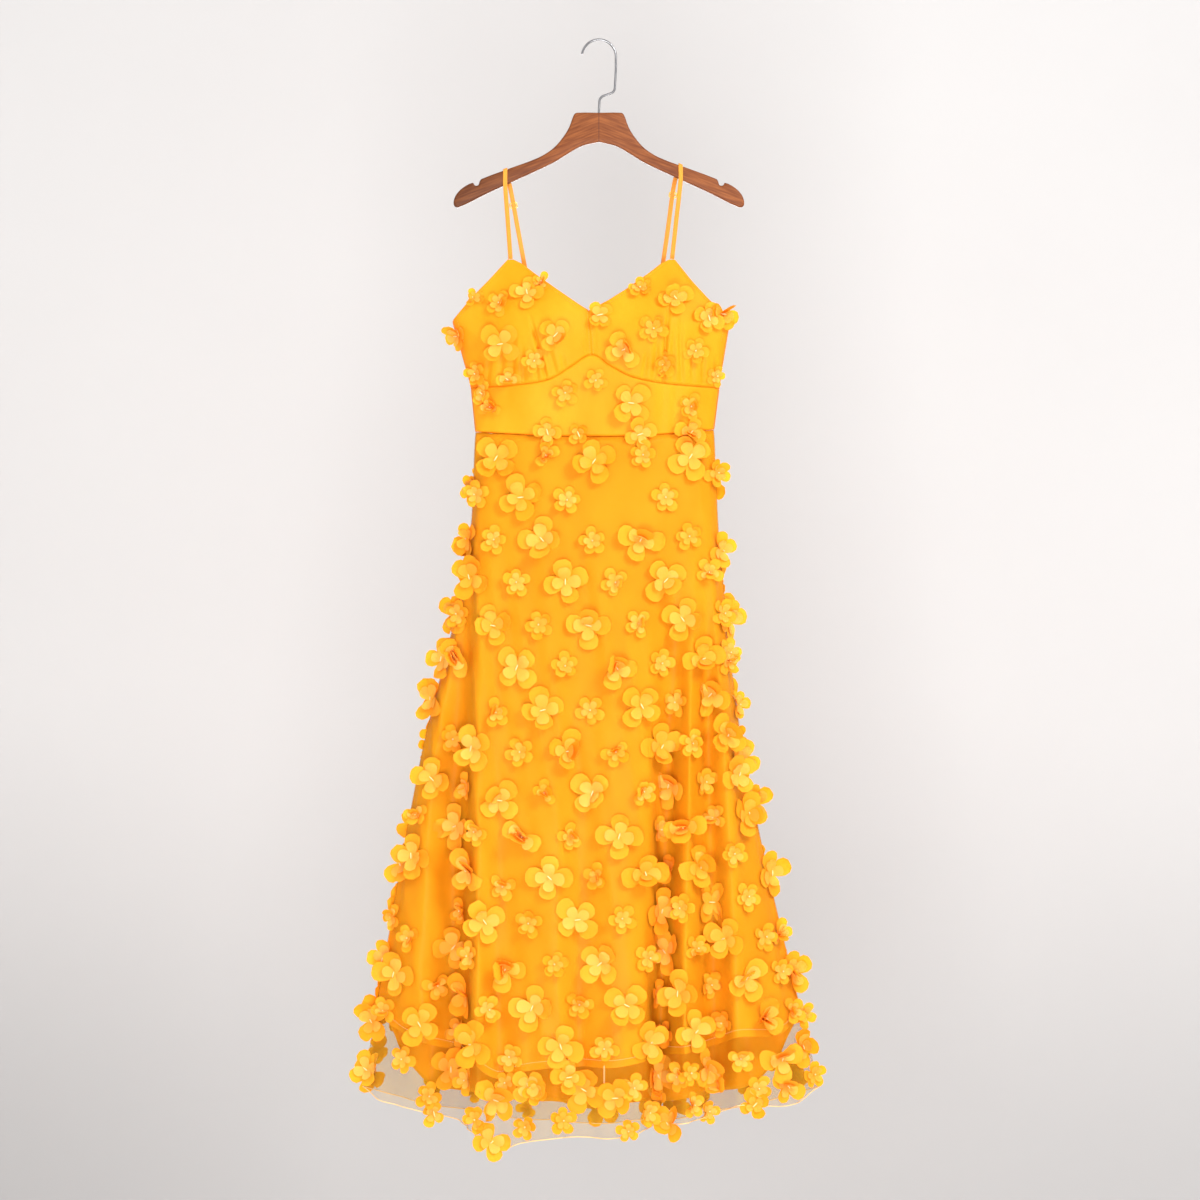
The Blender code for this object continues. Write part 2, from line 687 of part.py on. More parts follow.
def strap_path(side, x_front, drop_front, x_top, drop_top, x_fall, x_back):
    """Middle line of a strap from the cup's tip over the bar to the back edge, with its bank."""
    reach = HANGER_THICKNESS / 2 + STRAP_CLEAR
    bank_sign = 1 if side == "left" else -1
    half_wall = Vector((0.0, BODICE_WALL / 2, 0.0))
    start = body_frame(FRONT, x_front, drop_front)[0] + half_wall
    end = body_frame(BACK, x_back, back_edge(x_back) - SEAM_GAP)[0] - half_wall
    leaves = -drop_top - STRAP_LEAVES_BAR
    rise_end = Vector((x_top, -reach, leaves))
    rise = [start, mix(start, rise_end, 0.5), rise_end]
    arch = []
    for k in range(STRAP_BEND_STEPS + 1):
        angle = math.pi * (1 - k / STRAP_BEND_STEPS)
        side_y = (reach - STRAP_BEND) * (1 if angle < math.pi / 2 else -1)
        y = (0.0 if 2 * k == STRAP_BEND_STEPS else side_y) + STRAP_BEND * math.cos(angle)
        arch.append(Vector((x_top, y, -drop_top - STRAP_BEND + STRAP_BEND * math.sin(angle))))
    fall_start = Vector((x_fall, reach, leaves))
    fall = [mix(fall_start, end, k / STRAP_FALL_STEPS) for k in range(STRAP_FALL_STEPS + 1)]
    path = []
    for point in rise + arch + fall:
        away = abs(point.z + drop_top) / BANK_LENGTH
        path.append((point, bank_sign * HANGER_SLOPE * math.exp(-(away**2))))
    return path


def build_straps(collection, cloth, metal):
    for side, *sizes in STRAPS:
        path = strap_path(side, *sizes)
        bm = bmesh.new()
        rows = []
        for point, bank in path:
            half = Vector((math.cos(bank), 0.0, math.sin(bank))) * STRAP_WIDTH / 2
            rows.append([bm.verts.new((point - half) * MM), bm.verts.new((point + half) * MM)])
        for a, b in zip(rows, rows[1:]):
            bm.faces.new((a[0], a[1], b[1], b[0]))
        strap = mesh_object("strap_" + side, bm, cloth, collection)
        wall = strap.modifiers.new("Thickness", "SOLIDIFY")
        wall.thickness = STRAP_THICKNESS * MM
        wall.offset = 0.0
        fall_top, fall_end = path[-STRAP_FALL_STEPS - 1][0], path[-1][0]
        loops = (("slider_", SLIDER_DROPS[side], SLIDER_SIZE), ("ring_", RING_DROP, RING_SIZE))
        for name, drop, size in loops:
            fall = fall_end - fall_top
            place = fall_top - fall * (fall_top.z + drop) / fall.z
            build_loop(name + side, place, fall, size, metal, collection)


def build_loop(name, place, direction, size, metal, collection):
    """A small metal loop round a strap that runs in the given direction."""
    run = direction.normalized()
    across = (Vector((1.0, 0.0, 0.0)) - run * run.x).normalized()
    turn = Matrix((across, run.cross(across), run)).transposed().to_euler()
    loop = None
    for label, box in (("", size), ("_hole", (*LOOP_HOLE, 3 * size[2]))):
        bm = bmesh.new()
        bmesh.ops.create_cube(bm, size=MM)
        bmesh.ops.scale(bm, vec=Vector(box), verts=bm.verts[:])
        target = collection if not label else cutters_collection()
        obj = mesh_object(name + label, bm, metal, target)
        obj.location = place * MM
        obj.rotation_euler = turn
        if label:
            obj.display_type = "WIRE"
            obj.hide_render = True
            cut = loop.modifiers.new("Hole", "BOOLEAN")
            cut.operation = "DIFFERENCE"
            cut.object = obj
        loop = loop or obj


def cutters_collection():
    found = bpy.data.collections.get("Cutters")
    if found is None:
        found = bpy.data.collections.new("Cutters")
        bpy.context.scene.collection.children.link(found)
    return found


def rounded_path(points, radius):
    """The path with each inner corner replaced by a short curve."""
    path = [Vector(points[0])]
    for before, corner, after in zip(points, points[1:], points[2:]):
        corner = Vector(corner)
        start = corner + (Vector(before) - corner).normalized() * radius
        end = corner + (Vector(after) - corner).normalized() * radius
        for k in range(HOOK_CORNER_STEPS + 1):
            t = k / HOOK_CORNER_STEPS
            path.append(mix(mix(start, corner, t), mix(corner, end, t), t))
    return path + [Vector(points[-1])]


def build_hook(collection, metal):
    centre_z = -(HOOK_RADIUS - HOOK_WIRE / 2)
    arc = []
    for angle in range(HOOK_TIP_ANGLE, 0, -HOOK_STEP_ANGLE):
        a = math.radians(angle)
        arc.append(Vector((HOOK_RADIUS * math.cos(a), centre_z + HOOK_RADIUS * math.sin(a))))
    shank = rounded_path([(HOOK_RADIUS, centre_z)] + [(x, -drop) for x, drop in HOOK_SHANK], HOOK_CORNER)
    curve = bpy.data.curves.new("hanger_hook", "CURVE")
    curve.dimensions = "3D"
    spline = curve.splines.new("POLY")
    points = arc + shank
    spline.points.add(len(points) - 1)
    for spot, (x, z) in zip(spline.points, points):
        spot.co = (x * MM, 0.0, z * MM, 1.0)
    curve.bevel_depth = HOOK_WIRE / 2 * MM
    curve.bevel_resolution = 2
    curve.use_fill_caps = True
    add_object("hanger_hook", curve, metal, collection)


def build_bar(collection, wood):
    """The wooden bar: a filled outline with rounded edges, and a bore for the hook's shank."""
    outline = list(HANGER_HALF) + [(-x, drop) for x, drop in reversed(HANGER_HALF[1:-1])]
    curve = bpy.data.curves.new("hanger_outline", "CURVE")
    curve.dimensions = "2D"
    curve.fill_mode = "BOTH"
    curve.extrude = (HANGER_THICKNESS / 2 - HANGER_ROUNDING) * MM
    curve.bevel_depth = HANGER_ROUNDING * MM
    curve.bevel_resolution = 1
    curve.offset = -HANGER_ROUNDING * MM
    spline = curve.splines.new("POLY")
    spline.points.add(len(outline) - 1)
    for spot, (x, drop) in zip(spline.points, outline):
        spot.co = (x * MM, -drop * MM, 0.0, 1.0)
    spline.use_cyclic_u = True
    guide = bpy.data.objects.new("hanger_outline", curve)
    collection.objects.link(guide)
    guide.rotation_euler = (math.pi / 2, 0.0, 0.0)
    bpy.context.view_layer.update()
    evaluated = guide.evaluated_get(bpy.context.evaluated_depsgraph_get())
    mesh = bpy.data.meshes.new_from_object(evaluated)
    mesh.name = "hanger_wood"
    bm = bmesh.new()
    bm.from_mesh(mesh)
    bmesh.ops.remove_doubles(bm, verts=bm.verts[:], dist=MERGE_DISTANCE)
    bm.to_mesh(mesh)
    bm.free()
    mesh.materials.clear()
    bar = add_object("hanger_wood", mesh, wood, collection)
    bar.matrix_world = guide.matrix_world.copy()
    bpy.data.objects.remove(guide)
    mesh.shade_smooth()
    mesh.set_sharp_from_angle(angle=SHARP_ANGLE)
    bm = bmesh.new()
    bmesh.ops.create_cone(
        bm,
        cap_ends=True,
        segments=12,
        radius1=BORE_RADIUS * MM,
        radius2=BORE_RADIUS * MM,
        depth=2 * BORE_DEPTH * MM,
    )
    bore = mesh_object("hook_bore", bm, wood, cutters_collection())
    bore.location = (0.0, 0.0, -HANGER_HALF[0][1] * MM)
    bore.display_type = "WIRE"
    bore.hide_render = True
    cut = bar.modifiers.new("Bore", "BOOLEAN")
    cut.operation = "DIFFERENCE"
    cut.object = bore


def main():
    for obj in list(bpy.data.objects):
        bpy.data.objects.remove(obj)
    collection = bpy.data.collections.new("Sundress")
    bpy.context.scene.collection.children.link(collection)
    cloth = plain_material("flowered_mesh", (0.95, 0.45, 0.04), 0.7)
    lining = plain_material("satin_lining", (0.93, 0.38, 0.02), 0.45)
    strap_cloth = plain_material("strap_satin", (0.95, 0.42, 0.03), 0.5)
    wood = plain_material("stained_wood", (0.30, 0.10, 0.05), 0.4)
    wire = plain_material("steel_wire", (0.55, 0.56, 0.58), 0.3, 1.0)
    build_dress(collection, cloth, lining)
    build_straps(collection, strap_cloth, wire)
    build_hook(collection, wire)
    build_bar(collection, wood)


main()
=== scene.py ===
# %% [markdown]
# # A sundress hung on a wooden hanger
# This lesson dresses a plain solid model of a sundress until it looks like the real garment. The
# dress has a satin lining, a sheer net overlay, and more than three hundred and fifty cloth flowers
# that are sewn on by their middles. The solids are loaded first as a fixed frame: they carry the size
# and the collision, and the new pieces take their places without moving anything.

import copy
import math
import random

import bmesh
import bpy
import numpy as np
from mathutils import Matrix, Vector


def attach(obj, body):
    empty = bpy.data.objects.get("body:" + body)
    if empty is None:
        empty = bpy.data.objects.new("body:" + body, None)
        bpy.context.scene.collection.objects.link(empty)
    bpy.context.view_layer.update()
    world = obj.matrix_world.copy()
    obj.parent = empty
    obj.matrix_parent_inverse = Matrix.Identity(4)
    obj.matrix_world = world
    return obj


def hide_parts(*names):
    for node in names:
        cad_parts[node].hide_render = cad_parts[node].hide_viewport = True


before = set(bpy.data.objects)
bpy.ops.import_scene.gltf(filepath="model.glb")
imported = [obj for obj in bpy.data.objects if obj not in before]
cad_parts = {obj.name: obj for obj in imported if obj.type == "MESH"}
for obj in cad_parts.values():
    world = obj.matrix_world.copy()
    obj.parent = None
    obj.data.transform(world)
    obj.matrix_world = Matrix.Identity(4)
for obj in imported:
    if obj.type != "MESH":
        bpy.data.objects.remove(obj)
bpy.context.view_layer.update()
MM = 0.001
FRONT = -1
BACK = 1
print("solids in the frame:", len(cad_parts))


# %% [markdown]
# ## Camera, wall, floor and lights
# The garment hangs flat in front of a pale wall and is seen straight on from far away, so a long lens
# is used. A long lens keeps the hem and the straps at the same scale. The wall only shows from its
# front, so that it can't hide the dress when the camera walks round behind it.

# %% Camera
VIEW_DISTANCE = 7.0
FRAME_WIDTH = 1.62
SENSOR_WIDTH = 36.0
LOOK_AT = Vector((0.0015, -0.03, -0.758))


def deselect_all():
    if bpy.context.mode != "OBJECT":
        bpy.ops.object.mode_set(mode="OBJECT")
    bpy.ops.object.select_all(action="DESELECT")


def make_active(obj):
    deselect_all()
    obj.select_set(True)
    bpy.context.view_layer.objects.active = obj


deselect_all()
bpy.ops.object.camera_add(
    location=LOOK_AT - Vector((0.0, VIEW_DISTANCE, 0.0)),
    rotation=(math.pi / 2, 0.0, 0.0),
)
camera = bpy.context.object
camera.name = "camera"
camera.data.sensor_width = SENSOR_WIDTH
camera.data.lens = SENSOR_WIDTH * VIEW_DISTANCE / FRAME_WIDTH
camera.data.clip_end = 50.0
bpy.context.scene.camera = camera
bpy.context.scene.view_settings.view_transform = "Standard"
print("lens:", round(camera.data.lens, 1), "mm")


# %% [markdown]
# The lights are big and soft, as in a studio. The key stands well to the right of the camera and above
# it, so that petals and folds are shaded on their left. The front one is below the camera and shines
# straight into the folds and up into the hem, so that they stay bright. The one behind the dress lights
# its back and the rims of the petals. It faces straight away from the wall, so it leaves no patch there.

# %% Lights
WORLD_COLOUR = (1.0, 0.985, 0.98, 1.0)
WORLD_STRENGTH = 1.0
# Lights: name, place, size, watts
LIGHTS = (
    ("key", (2.0, -3.0, 1.3), 1.2, 112.0),
    ("front", (-0.12, -3.5, -1.40), 1.0, 94.0),
    ("back", (0.0015, 1.42, -0.758), 0.9, 22.0),
)

world = bpy.context.scene.world or bpy.data.worlds.new("studio")
bpy.context.scene.world = world
world.use_nodes = True
background = world.node_tree.nodes["Background"]
background.inputs["Color"].default_value = WORLD_COLOUR
background.inputs["Strength"].default_value = WORLD_STRENGTH

for light_name, place, size, watts in LIGHTS:
    aim = (LOOK_AT - Vector(place)).to_track_quat("-Z", "Y").to_euler()
    bpy.ops.object.light_add(type="AREA", location=place, rotation=aim)
    light = bpy.context.object
    light.name = light_name
    light.data.size = size
    light.data.energy = watts
    light.visible_camera = False
print("lights:", [row[0] for row in LIGHTS])


# %% [markdown]
# ## Materials from nodes
# Every finish starts from one Principled shader. A number that is the same all over is set on the
# shader's own socket, and only what changes over the surface comes through nodes.

# %% Node helpers
# How light spreads inside thin cloth: share of each colour, and metres
GLOW_COLOUR = (1.0, 0.55, 0.12)
GLOW_DEPTH = 0.003


def new_material(name, roughness, metallic=0.0, gloss=0.5, alpha=1.0, glow=0.0):
    material = bpy.data.materials.new(name)
    material.use_nodes = True
    shader = material.node_tree.nodes["Principled BSDF"]
    shader.inputs["Roughness"].default_value = roughness
    shader.inputs["Metallic"].default_value = metallic
    shader.inputs["Specular IOR Level"].default_value = gloss
    shader.inputs["Alpha"].default_value = alpha
    shader.inputs["Subsurface Weight"].default_value = glow
    shader.inputs["Subsurface Radius"].default_value = GLOW_COLOUR
    shader.inputs["Subsurface Scale"].default_value = GLOW_DEPTH
    return material, material.node_tree, shader


def add_node(tree, kind, settings=None, **sockets):
    """A node with these settings. A socket gets a value, or a link from another node's output."""
    made = tree.nodes.new(kind)
    for key, value in (settings or {}).items():
        setattr(made, key, value)
    for key, value in sockets.items():
        socket = made.inputs[key.replace("_", " ")]
        if isinstance(value, bpy.types.NodeSocket):
            tree.links.new(value, socket)
        else:
            socket.default_value = value
    return made


def object_place(tree, scale=(1.0, 1.0, 1.0)):
    """Object coordinates in metres, stretched."""
    place = add_node(tree, "ShaderNodeTexCoord").outputs["Object"]
    return add_node(tree, "ShaderNodeMapping", Vector=place, Scale=scale).outputs["Vector"]


def flat_place(tree, scale=(1.0, 1.0, 1.0)):
    """The cloth's own flat pattern in metres, so that a weave follows its folds."""
    place = add_node(tree, "ShaderNodeUVMap", {"uv_map": "flat"}).outputs["UV"]
    return add_node(tree, "ShaderNodeMapping", Vector=place, Scale=scale).outputs["Vector"]


def noise(tree, place, scale, detail=3.0):
    return add_node(tree, "ShaderNodeTexNoise", Vector=place, Scale=scale, Detail=detail).outputs["Fac"]


def blend_colours(tree, factor, low, high, start=0.3, end=0.7):
    ramp = add_node(tree, "ShaderNodeValToRGB", Fac=factor)
    for stop, position, colour in zip(ramp.color_ramp.elements, (start, end), (low, high)):
        stop.position = position
        stop.color = (*colour, 1.0)
    return ramp.outputs["Color"]


def dimmed(tree, colour, value, start, end, share):
    """The colour times a share, which grows to 1 while the value goes from start to end."""
    rise = add_node(tree, "ShaderNodeMapRange", {"interpolation_type": "SMOOTHSTEP"},
                    Value=value, From_Min=start, From_Max=end, To_Min=share)
    return add_node(tree, "ShaderNodeVectorMath", {"operation": "SCALE"},
                    Vector=colour, Scale=rise.outputs["Result"]).outputs["Vector"]


def bump_from(tree, shader, height, strength, distance):
    bump = add_node(tree, "ShaderNodeBump", Height=height, Strength=strength, Distance=distance)
    tree.links.new(bump.outputs["Normal"], shader.inputs["Normal"])


# %% [markdown]
# The wall and the floor are painted plaster: almost one colour, with a slow change of tone. The back
# of the wall lets light and sight through, which the Backfacing output of Geometry decides.

# %% Wall and floor
WALL_Y = 1.60
FLOOR_Z = -2.06
STAGE_SIZE = 14.0
# Painted shade: the wall's colour is darkened towards the floor, where less light reaches it: heights on its
# plane, and the share of the colour it keeps
WALL_PAINTED_SHADE_LOW = -STAGE_SIZE / 2 + 0.22
WALL_PAINTED_SHADE_HIGH = WALL_PAINTED_SHADE_LOW + 0.95
WALL_PAINTED_SHADE_SHARE = 0.78


def plaster(name, low, high, one_sided):
    """Painted plaster. A one-sided one has painted shade that darkens it towards the floor, and is clear
    from behind.
    """
    material, tree, shader = new_material(name, 0.9)
    tone = noise(tree, object_place(tree), 0.8)
    colour = blend_colours(tree, tone, low, high)
    if one_sided:
        # Painted shade: the colour is darker towards the floor, where less light falls
        height = add_node(tree, "ShaderNodeSeparateXYZ", Vector=object_place(tree))
        colour = dimmed(tree, colour, height.outputs["Y"], WALL_PAINTED_SHADE_LOW, WALL_PAINTED_SHADE_HIGH, WALL_PAINTED_SHADE_SHARE)
    tree.links.new(colour, shader.inputs["Base Color"])
    grain = noise(tree, object_place(tree), 260.0)
    bump_from(tree, shader, grain, 0.05, 0.001)
    if one_sided:
        facing = add_node(tree, "ShaderNodeNewGeometry")
        clear = add_node(tree, "ShaderNodeBsdfTransparent")
        choose = add_node(tree, "ShaderNodeMixShader", Fac=facing.outputs["Backfacing"])
        tree.links.new(shader.outputs["BSDF"], choose.inputs[1])
        tree.links.new(clear.outputs["BSDF"], choose.inputs[2])
        tree.links.new(choose.outputs["Shader"], tree.nodes["Material Output"].inputs["Surface"])
    return material


def stage_plane(name, place, turn, material):
    deselect_all()
    bpy.ops.mesh.primitive_plane_add(size=STAGE_SIZE, location=place, rotation=turn)
    plane = bpy.context.object
    plane.name = name
    plane.data.materials.append(material)


stage_plane("wall", (0.0, WALL_Y, FLOOR_Z + STAGE_SIZE / 2), (math.pi / 2, 0.0, 0.0),
            plaster("wall_plaster", (0.570, 0.563, 0.560), (0.597, 0.593, 0.590), True))
stage_plane("floor", (0.0, WALL_Y - STAGE_SIZE / 2, FLOOR_Z), (0.0, 0.0, 0.0),
            plaster("floor_paint", (0.56, 0.54, 0.53), (0.60, 0.58, 0.57), False))
print("stage set")


# %% [markdown]
# ## Cloth finishes
# The lining is satin: close, smooth and deep orange where it folds on itself. The overlay is a very
# sheer net that hardly veils it, so its alpha is low and constant. The bodice is the same net held
# tight over the satin, so there the two are painted as one cloth.

# %% Satin and net
SATIN_DEEP = (0.98, 0.284, 0.003)
SATIN_LIGHT = (0.99, 0.358, 0.010)
NET_TINT = (0.48, 0.28, 0.015)
NET_SHADE = (0.42, 0.22, 0.008)
NET_ALPHA = 0.15
NET_CELLS = 620.0
BODICE_DEEP = (0.98, 0.248, 0.004)
BODICE_LIGHT = (0.99, 0.316, 0.012)
CLOTH_GLOSS = 0.07
SATIN_GLOW = 0.2
# How fast the tone changes along the cloth, and how high the threads of the weave are in metres
TONE_SCALE = 14.0
WEAVE_HEIGHT = 0.0006
PETAL_GLOW = 0.35


def mottled(name, roughness, low, high, scale, detail=3.0, **finish):
    """A finish whose colour wanders between two tones, by a noise in Object coordinates."""
    material, tree, shader = new_material(name, roughness, **finish)
    tone = noise(tree, object_place(tree), scale, detail)
    tree.links.new(blend_colours(tree, tone, low, high), shader.inputs["Base Color"])
    return material


def woven_cloth(name, low, high, roughness, thread, bump):
    """Satin or net over satin: slow tone changes and a fine weave along the flat pattern."""
    material, tree, shader = new_material(name, roughness, gloss=CLOTH_GLOSS, glow=SATIN_GLOW)
    tone = noise(tree, flat_place(tree, (1.0, 0.5, 1.0)), TONE_SCALE)
    tree.links.new(blend_colours(tree, tone, low, high), shader.inputs["Base Color"])
    weave = noise(tree, flat_place(tree, (1.0, 0.25, 1.0)), thread, 2.0)
    bump_from(tree, shader, weave, bump, WEAVE_HEIGHT)
    return material


# Roughness, how fine the weave is, how strongly it shows
satin = woven_cloth("satin_cloth", SATIN_DEEP, SATIN_LIGHT, 0.42, 900.0, 0.16)
bodice_cloth = woven_cloth("net_over_satin", BODICE_DEEP, BODICE_LIGHT, 0.5, 700.0, 0.22)

net, net_tree, net_shader = new_material("sheer_net", 0.65, gloss=CLOTH_GLOSS, alpha=NET_ALPHA)
mesh_cells = add_node(net_tree, "ShaderNodeTexVoronoi", {"feature": "DISTANCE_TO_EDGE"},
                      Vector=flat_place(net_tree), Scale=NET_CELLS)
net_tree.links.new(
    blend_colours(net_tree, mesh_cells.outputs["Distance"], NET_TINT, NET_SHADE, 0.0, 0.3),
    net_shader.inputs["Base Color"],
)
print("cloth finishes:", satin.name, bodice_cloth.name, net.name)


# %% [markdown]
# ## The measurements of the dress
# The tables below are the dress's own sizes in millimetres, the same ones that its solids were made
# from. Heights are given as a drop below the inside top of the hook. Each fold line of the skirt has a
# place at the hip, at mid length and at the hem, so a short table gives the whole hang of the cloth.

# %% Bodice sizes
SEAM_GAP = 0.4
# Levels: drop, left and right side of the flat outline, depth of the front and of the back
BODICE_LEVELS = (
    (297, -214.0, 198.0, 13.0, 9.0),
    (340, -207.0, 188.0, 27.0, 22.0),
    (380, -199.0, 178.5, 38.0, 31.0),
    (427, -184.5, 170.0, 42.0, 34.0),
    (468, -174.3, 164.0, 40.0, 34.0),
    (500, -169.8, 158.8, 37.0, 33.0),
    (537, -167.4, 156.0, 34.0, 31.0),
)
# Fullest points of the cups: x, drop, how far they stand out, spread
BUSTS = (
    (-89.0, 394.0, 17.0, 44.0),
    (90.0, 392.0, 17.0, 44.0),
)
# Seams across the front: x, drop
UNDERBUST_SEAM = (
    (-174.0, 471.0), (-115.0, 468.0), (-68.0, 461.0), (-40.0, 445.0), (-9.5, 427.5), (18.0, 444.0),
    (50.0, 459.0), (99.0, 467.0), (164.0, 471.0),
)
WAIST_SEAM = (
    (-168.0, 530.0), (-100.0, 534.5), (-10.0, 537.0), (70.0, 535.0), (156.0, 527.0),
)
# Cup edges from the underarm or the neck point up to the strap: x, drop
ARMHOLE_LEFT = ((-199.0, 380.0), (-171.5, 348.0), (-149.9, 326.0), (-123.6, 297.0))
ARMHOLE_RIGHT = ((178.5, 380.0), (145.8, 348.0), (125.6, 326.0), (103.0, 297.0))
NECK_POINT = (-13.5, 367.5)
NECKLINE_LEFT = (
    NECK_POINT,
    (-27.0, 358.7),
    (-58.0, 337.0),
    (-87.8, 315.5),
    (-104.0, 302.5),
    (-115.6, 297.0),
)
NECKLINE_RIGHT = (
    NECK_POINT,
    (12.2, 353.3),
    (37.8, 337.0),
    (67.5, 315.5),
    (84.0, 302.5),
    (95.0, 297.0),
)
CENTRE_SEAM_X = -9.5
# How far each cup reaches over the line between them, so that no light shows through
CUP_LAP = 0.35
CUP_COLUMNS = 8
CUP_ROWS = (0.0, 0.15, 0.30, 0.45, 0.58, 0.70, 0.80, 0.88, 0.95, 1.0)
CUP_LAST = len(CUP_ROWS) - 1
MIDRIFF_ROWS = 3
BACK_COLUMNS = 14
BACK_ROWS = 4
BACK_EDGE_DROP = 380.0
BACK_EDGE_DIP = 8.0
print("flat width at the waist:", BODICE_LEVELS[-1][2] - BODICE_LEVELS[-1][1], "mm")

# %% Skirt sizes
HIP_DROP = 704.0
MID_DROP = 988.0
SKIRT_ROWS = 14
LINING_ROWS = 12
LINING_SHARE = 0.90
LINING_INSET = 3.0
# Fold lines from the left side seam to the right one:
# name, x at hip, mid and hem, y at hip, mid and hem, drop of the hem edge
SIDE_LEFT = ("side_left", -179.6, -245.7, -321.3, 4, 20, 30, 1420)
SIDE_RIGHT = ("side_right", 166.0, 201.2, 299.7, 4, 18, 26, 1420)
FRONT_FOLDS = (
    SIDE_LEFT,
    ("gore_front", -178.4, -240.3, -297.0, -7, 3, 6, 1436),
    ("gore_crest", -176.0, -224.0, -248.0, -15, -15, -26, 1447),
    ("left_valley", -169.5, -191.5, -192.0, -27, -5, -2, 1462),
    ("left_ridge", -160.7, -165.0, -166.0, -36, -60, -83, 1476),
    ("left_shoulder", -137.7, -134.0, -136.5, -41, -54, -66, 1498),
    ("centre_left", -99.9, -101.0, -104.0, -44, -61, -80, 1486),
    ("centre_crest", -56.0, -56.0, -58.0, -46, -67, -89, 1479),
    ("centre_dip", -28.0, -26.0, -26.0, -45, -59, -73, 1478),
    ("middle_crest", 15.0, 17.6, 17.6, -46, -67, -91, 1479),
    ("right_shoulder", 62.0, 66.0, 56.0, -43, -59, -79, 1472),
    ("right_valley", 104.0, 93.0, 78.0, -36, -22, -19, 1465),
    ("right_ridge", 129.6, 121.5, 113.5, -33, -55, -80, 1460),
    ("outer_valley", 143.0, 147.0, 158.0, -27, -21, -22, 1452),
    ("band_crest", 152.5, 172.0, 193.0, -21, -37, -60, 1437),
    ("side_crest", 162.0, 193.0, 258.0, -10, -8, -22, 1441),
    SIDE_RIGHT,
)
BACK_FOLDS = (
    SIDE_LEFT,
    ("back_gore_left", -172.0, -226.0, -284.0, 17, 45, 64, 1434),
    ("back_valley_left", -152.0, -192.0, -228.0, 27, 34, 36, 1446),
    ("back_ridge_left", -122.0, -150.0, -172.0, 35, 58, 86, 1458),
    ("back_dip_left", -86.0, -104.0, -118.0, 38, 47, 56, 1466),
    ("back_crest_left", -44.0, -54.0, -62.0, 41, 63, 92, 1472),
    ("back_centre", -4.0, 0.0, 0.0, 40, 51, 62, 1474),
    ("back_crest_right", 38.0, 50.0, 60.0, 41, 61, 90, 1472),
    ("back_dip_right", 78.0, 98.0, 110.0, 38, 45, 52, 1466),
    ("back_ridge_right", 112.0, 138.0, 162.0, 34, 58, 84, 1458),
    ("back_valley_right", 140.0, 166.0, 208.0, 26, 33, 36, 1446),
    ("back_gore_right", 158.5, 190.0, 262.0, 16, 40, 60, 1434),
    SIDE_RIGHT,
)
print("front fold lines:", len(FRONT_FOLDS), "back fold lines:", len(BACK_FOLDS))


# %% [markdown]
# ## From tables to surfaces
# A smooth curve through a table's knots gives every place between them. The solids join their fold
# lines by flat strips. Real cloth rounds over from one fold to the next, so here each row of the cloth
# is a smooth line through the same points.

# %% Smooth lines
def cubic(start, slope_in, end, slope_out, t):
    """A smooth way from start to end with these slopes at its ends."""
    return (
        start * (2 * t**3 - 3 * t**2 + 1)
        + slope_in * (t**3 - 2 * t**2 + t)
        + end * (3 * t**2 - 2 * t**3)
        + slope_out * (t**3 - t**2)
    )


def smooth_through(knots, place):
    """Value at a place on a smooth curve through (place, value) knots, which rise in place."""
    if place <= knots[0][0]:
        return knots[0][1]
    if place >= knots[-1][0]:
        return knots[-1][1]
    k = max(i for i in range(len(knots) - 1) if knots[i][0] <= place)
    before, start = knots[max(k - 1, 0)], knots[k]
    end, after = knots[k + 1], knots[min(k + 2, len(knots) - 1)]
    span = end[0] - start[0]
    slope_in = (end[1] - before[1]) / (end[0] - before[0]) * span
    slope_out = (after[1] - start[1]) / (after[0] - start[0]) * span
    return cubic(start[1], slope_in, end[1], slope_out, (place - start[0]) / span)


def mix(a, b, t):
    return a + (b - a) * t


def along(points, share):
    """The (x, drop) at a share of a path's length."""
    lengths = [math.dist(a, b) for a, b in zip(points, points[1:])]
    left = share * sum(lengths)
    for a, b, length in zip(points, points[1:], lengths):
        if left <= length + 1e-9:
            return mix(a[0], b[0], left / length), mix(a[1], b[1], left / length)
        left -= length
    return points[-1]


def smooth_line(knots, steps):
    """Points on a smooth line through knots in space, with so many steps from each knot to the next."""
    knots = np.array(knots, float)
    if steps == 1:
        return knots
    gaps = np.linalg.norm(np.diff(knots, axis=0), axis=1)
    places = np.concatenate(([0.0], np.cumsum(gaps)))
    slopes = np.empty_like(knots)
    slopes[1:-1] = (knots[2:] - knots[:-2]) / (places[2:] - places[:-2])[:, None]
    slopes[0] = (knots[1] - knots[0]) / gaps[0]
    slopes[-1] = (knots[-1] - knots[-2]) / gaps[-1]
    t = (np.arange(steps) / steps)[:, None]
    line = [
        cubic(knots[k], slopes[k] * gaps[k], knots[k + 1], slopes[k + 1] * gaps[k], t)
        for k in range(len(gaps))
    ]
    return np.concatenate(line + [knots[-1:]])


print("waist seam at its lowest:", round(smooth_through(WAIST_SEAM, -10.0)), "mm down")


# %% [markdown]
# Each kind of panel has one function that gives a row of its points: a skirt row runs over the fold
# lines, and a bodice row runs round the body's oval with the two cups added to the front.

# %% Rows of the skirt
def body_level(drop):
    """Left, right, front depth and back depth of the bodice at a drop."""
    return [smooth_through([(row[0], row[c]) for row in BODICE_LEVELS], drop) for c in (1, 2, 3, 4)]


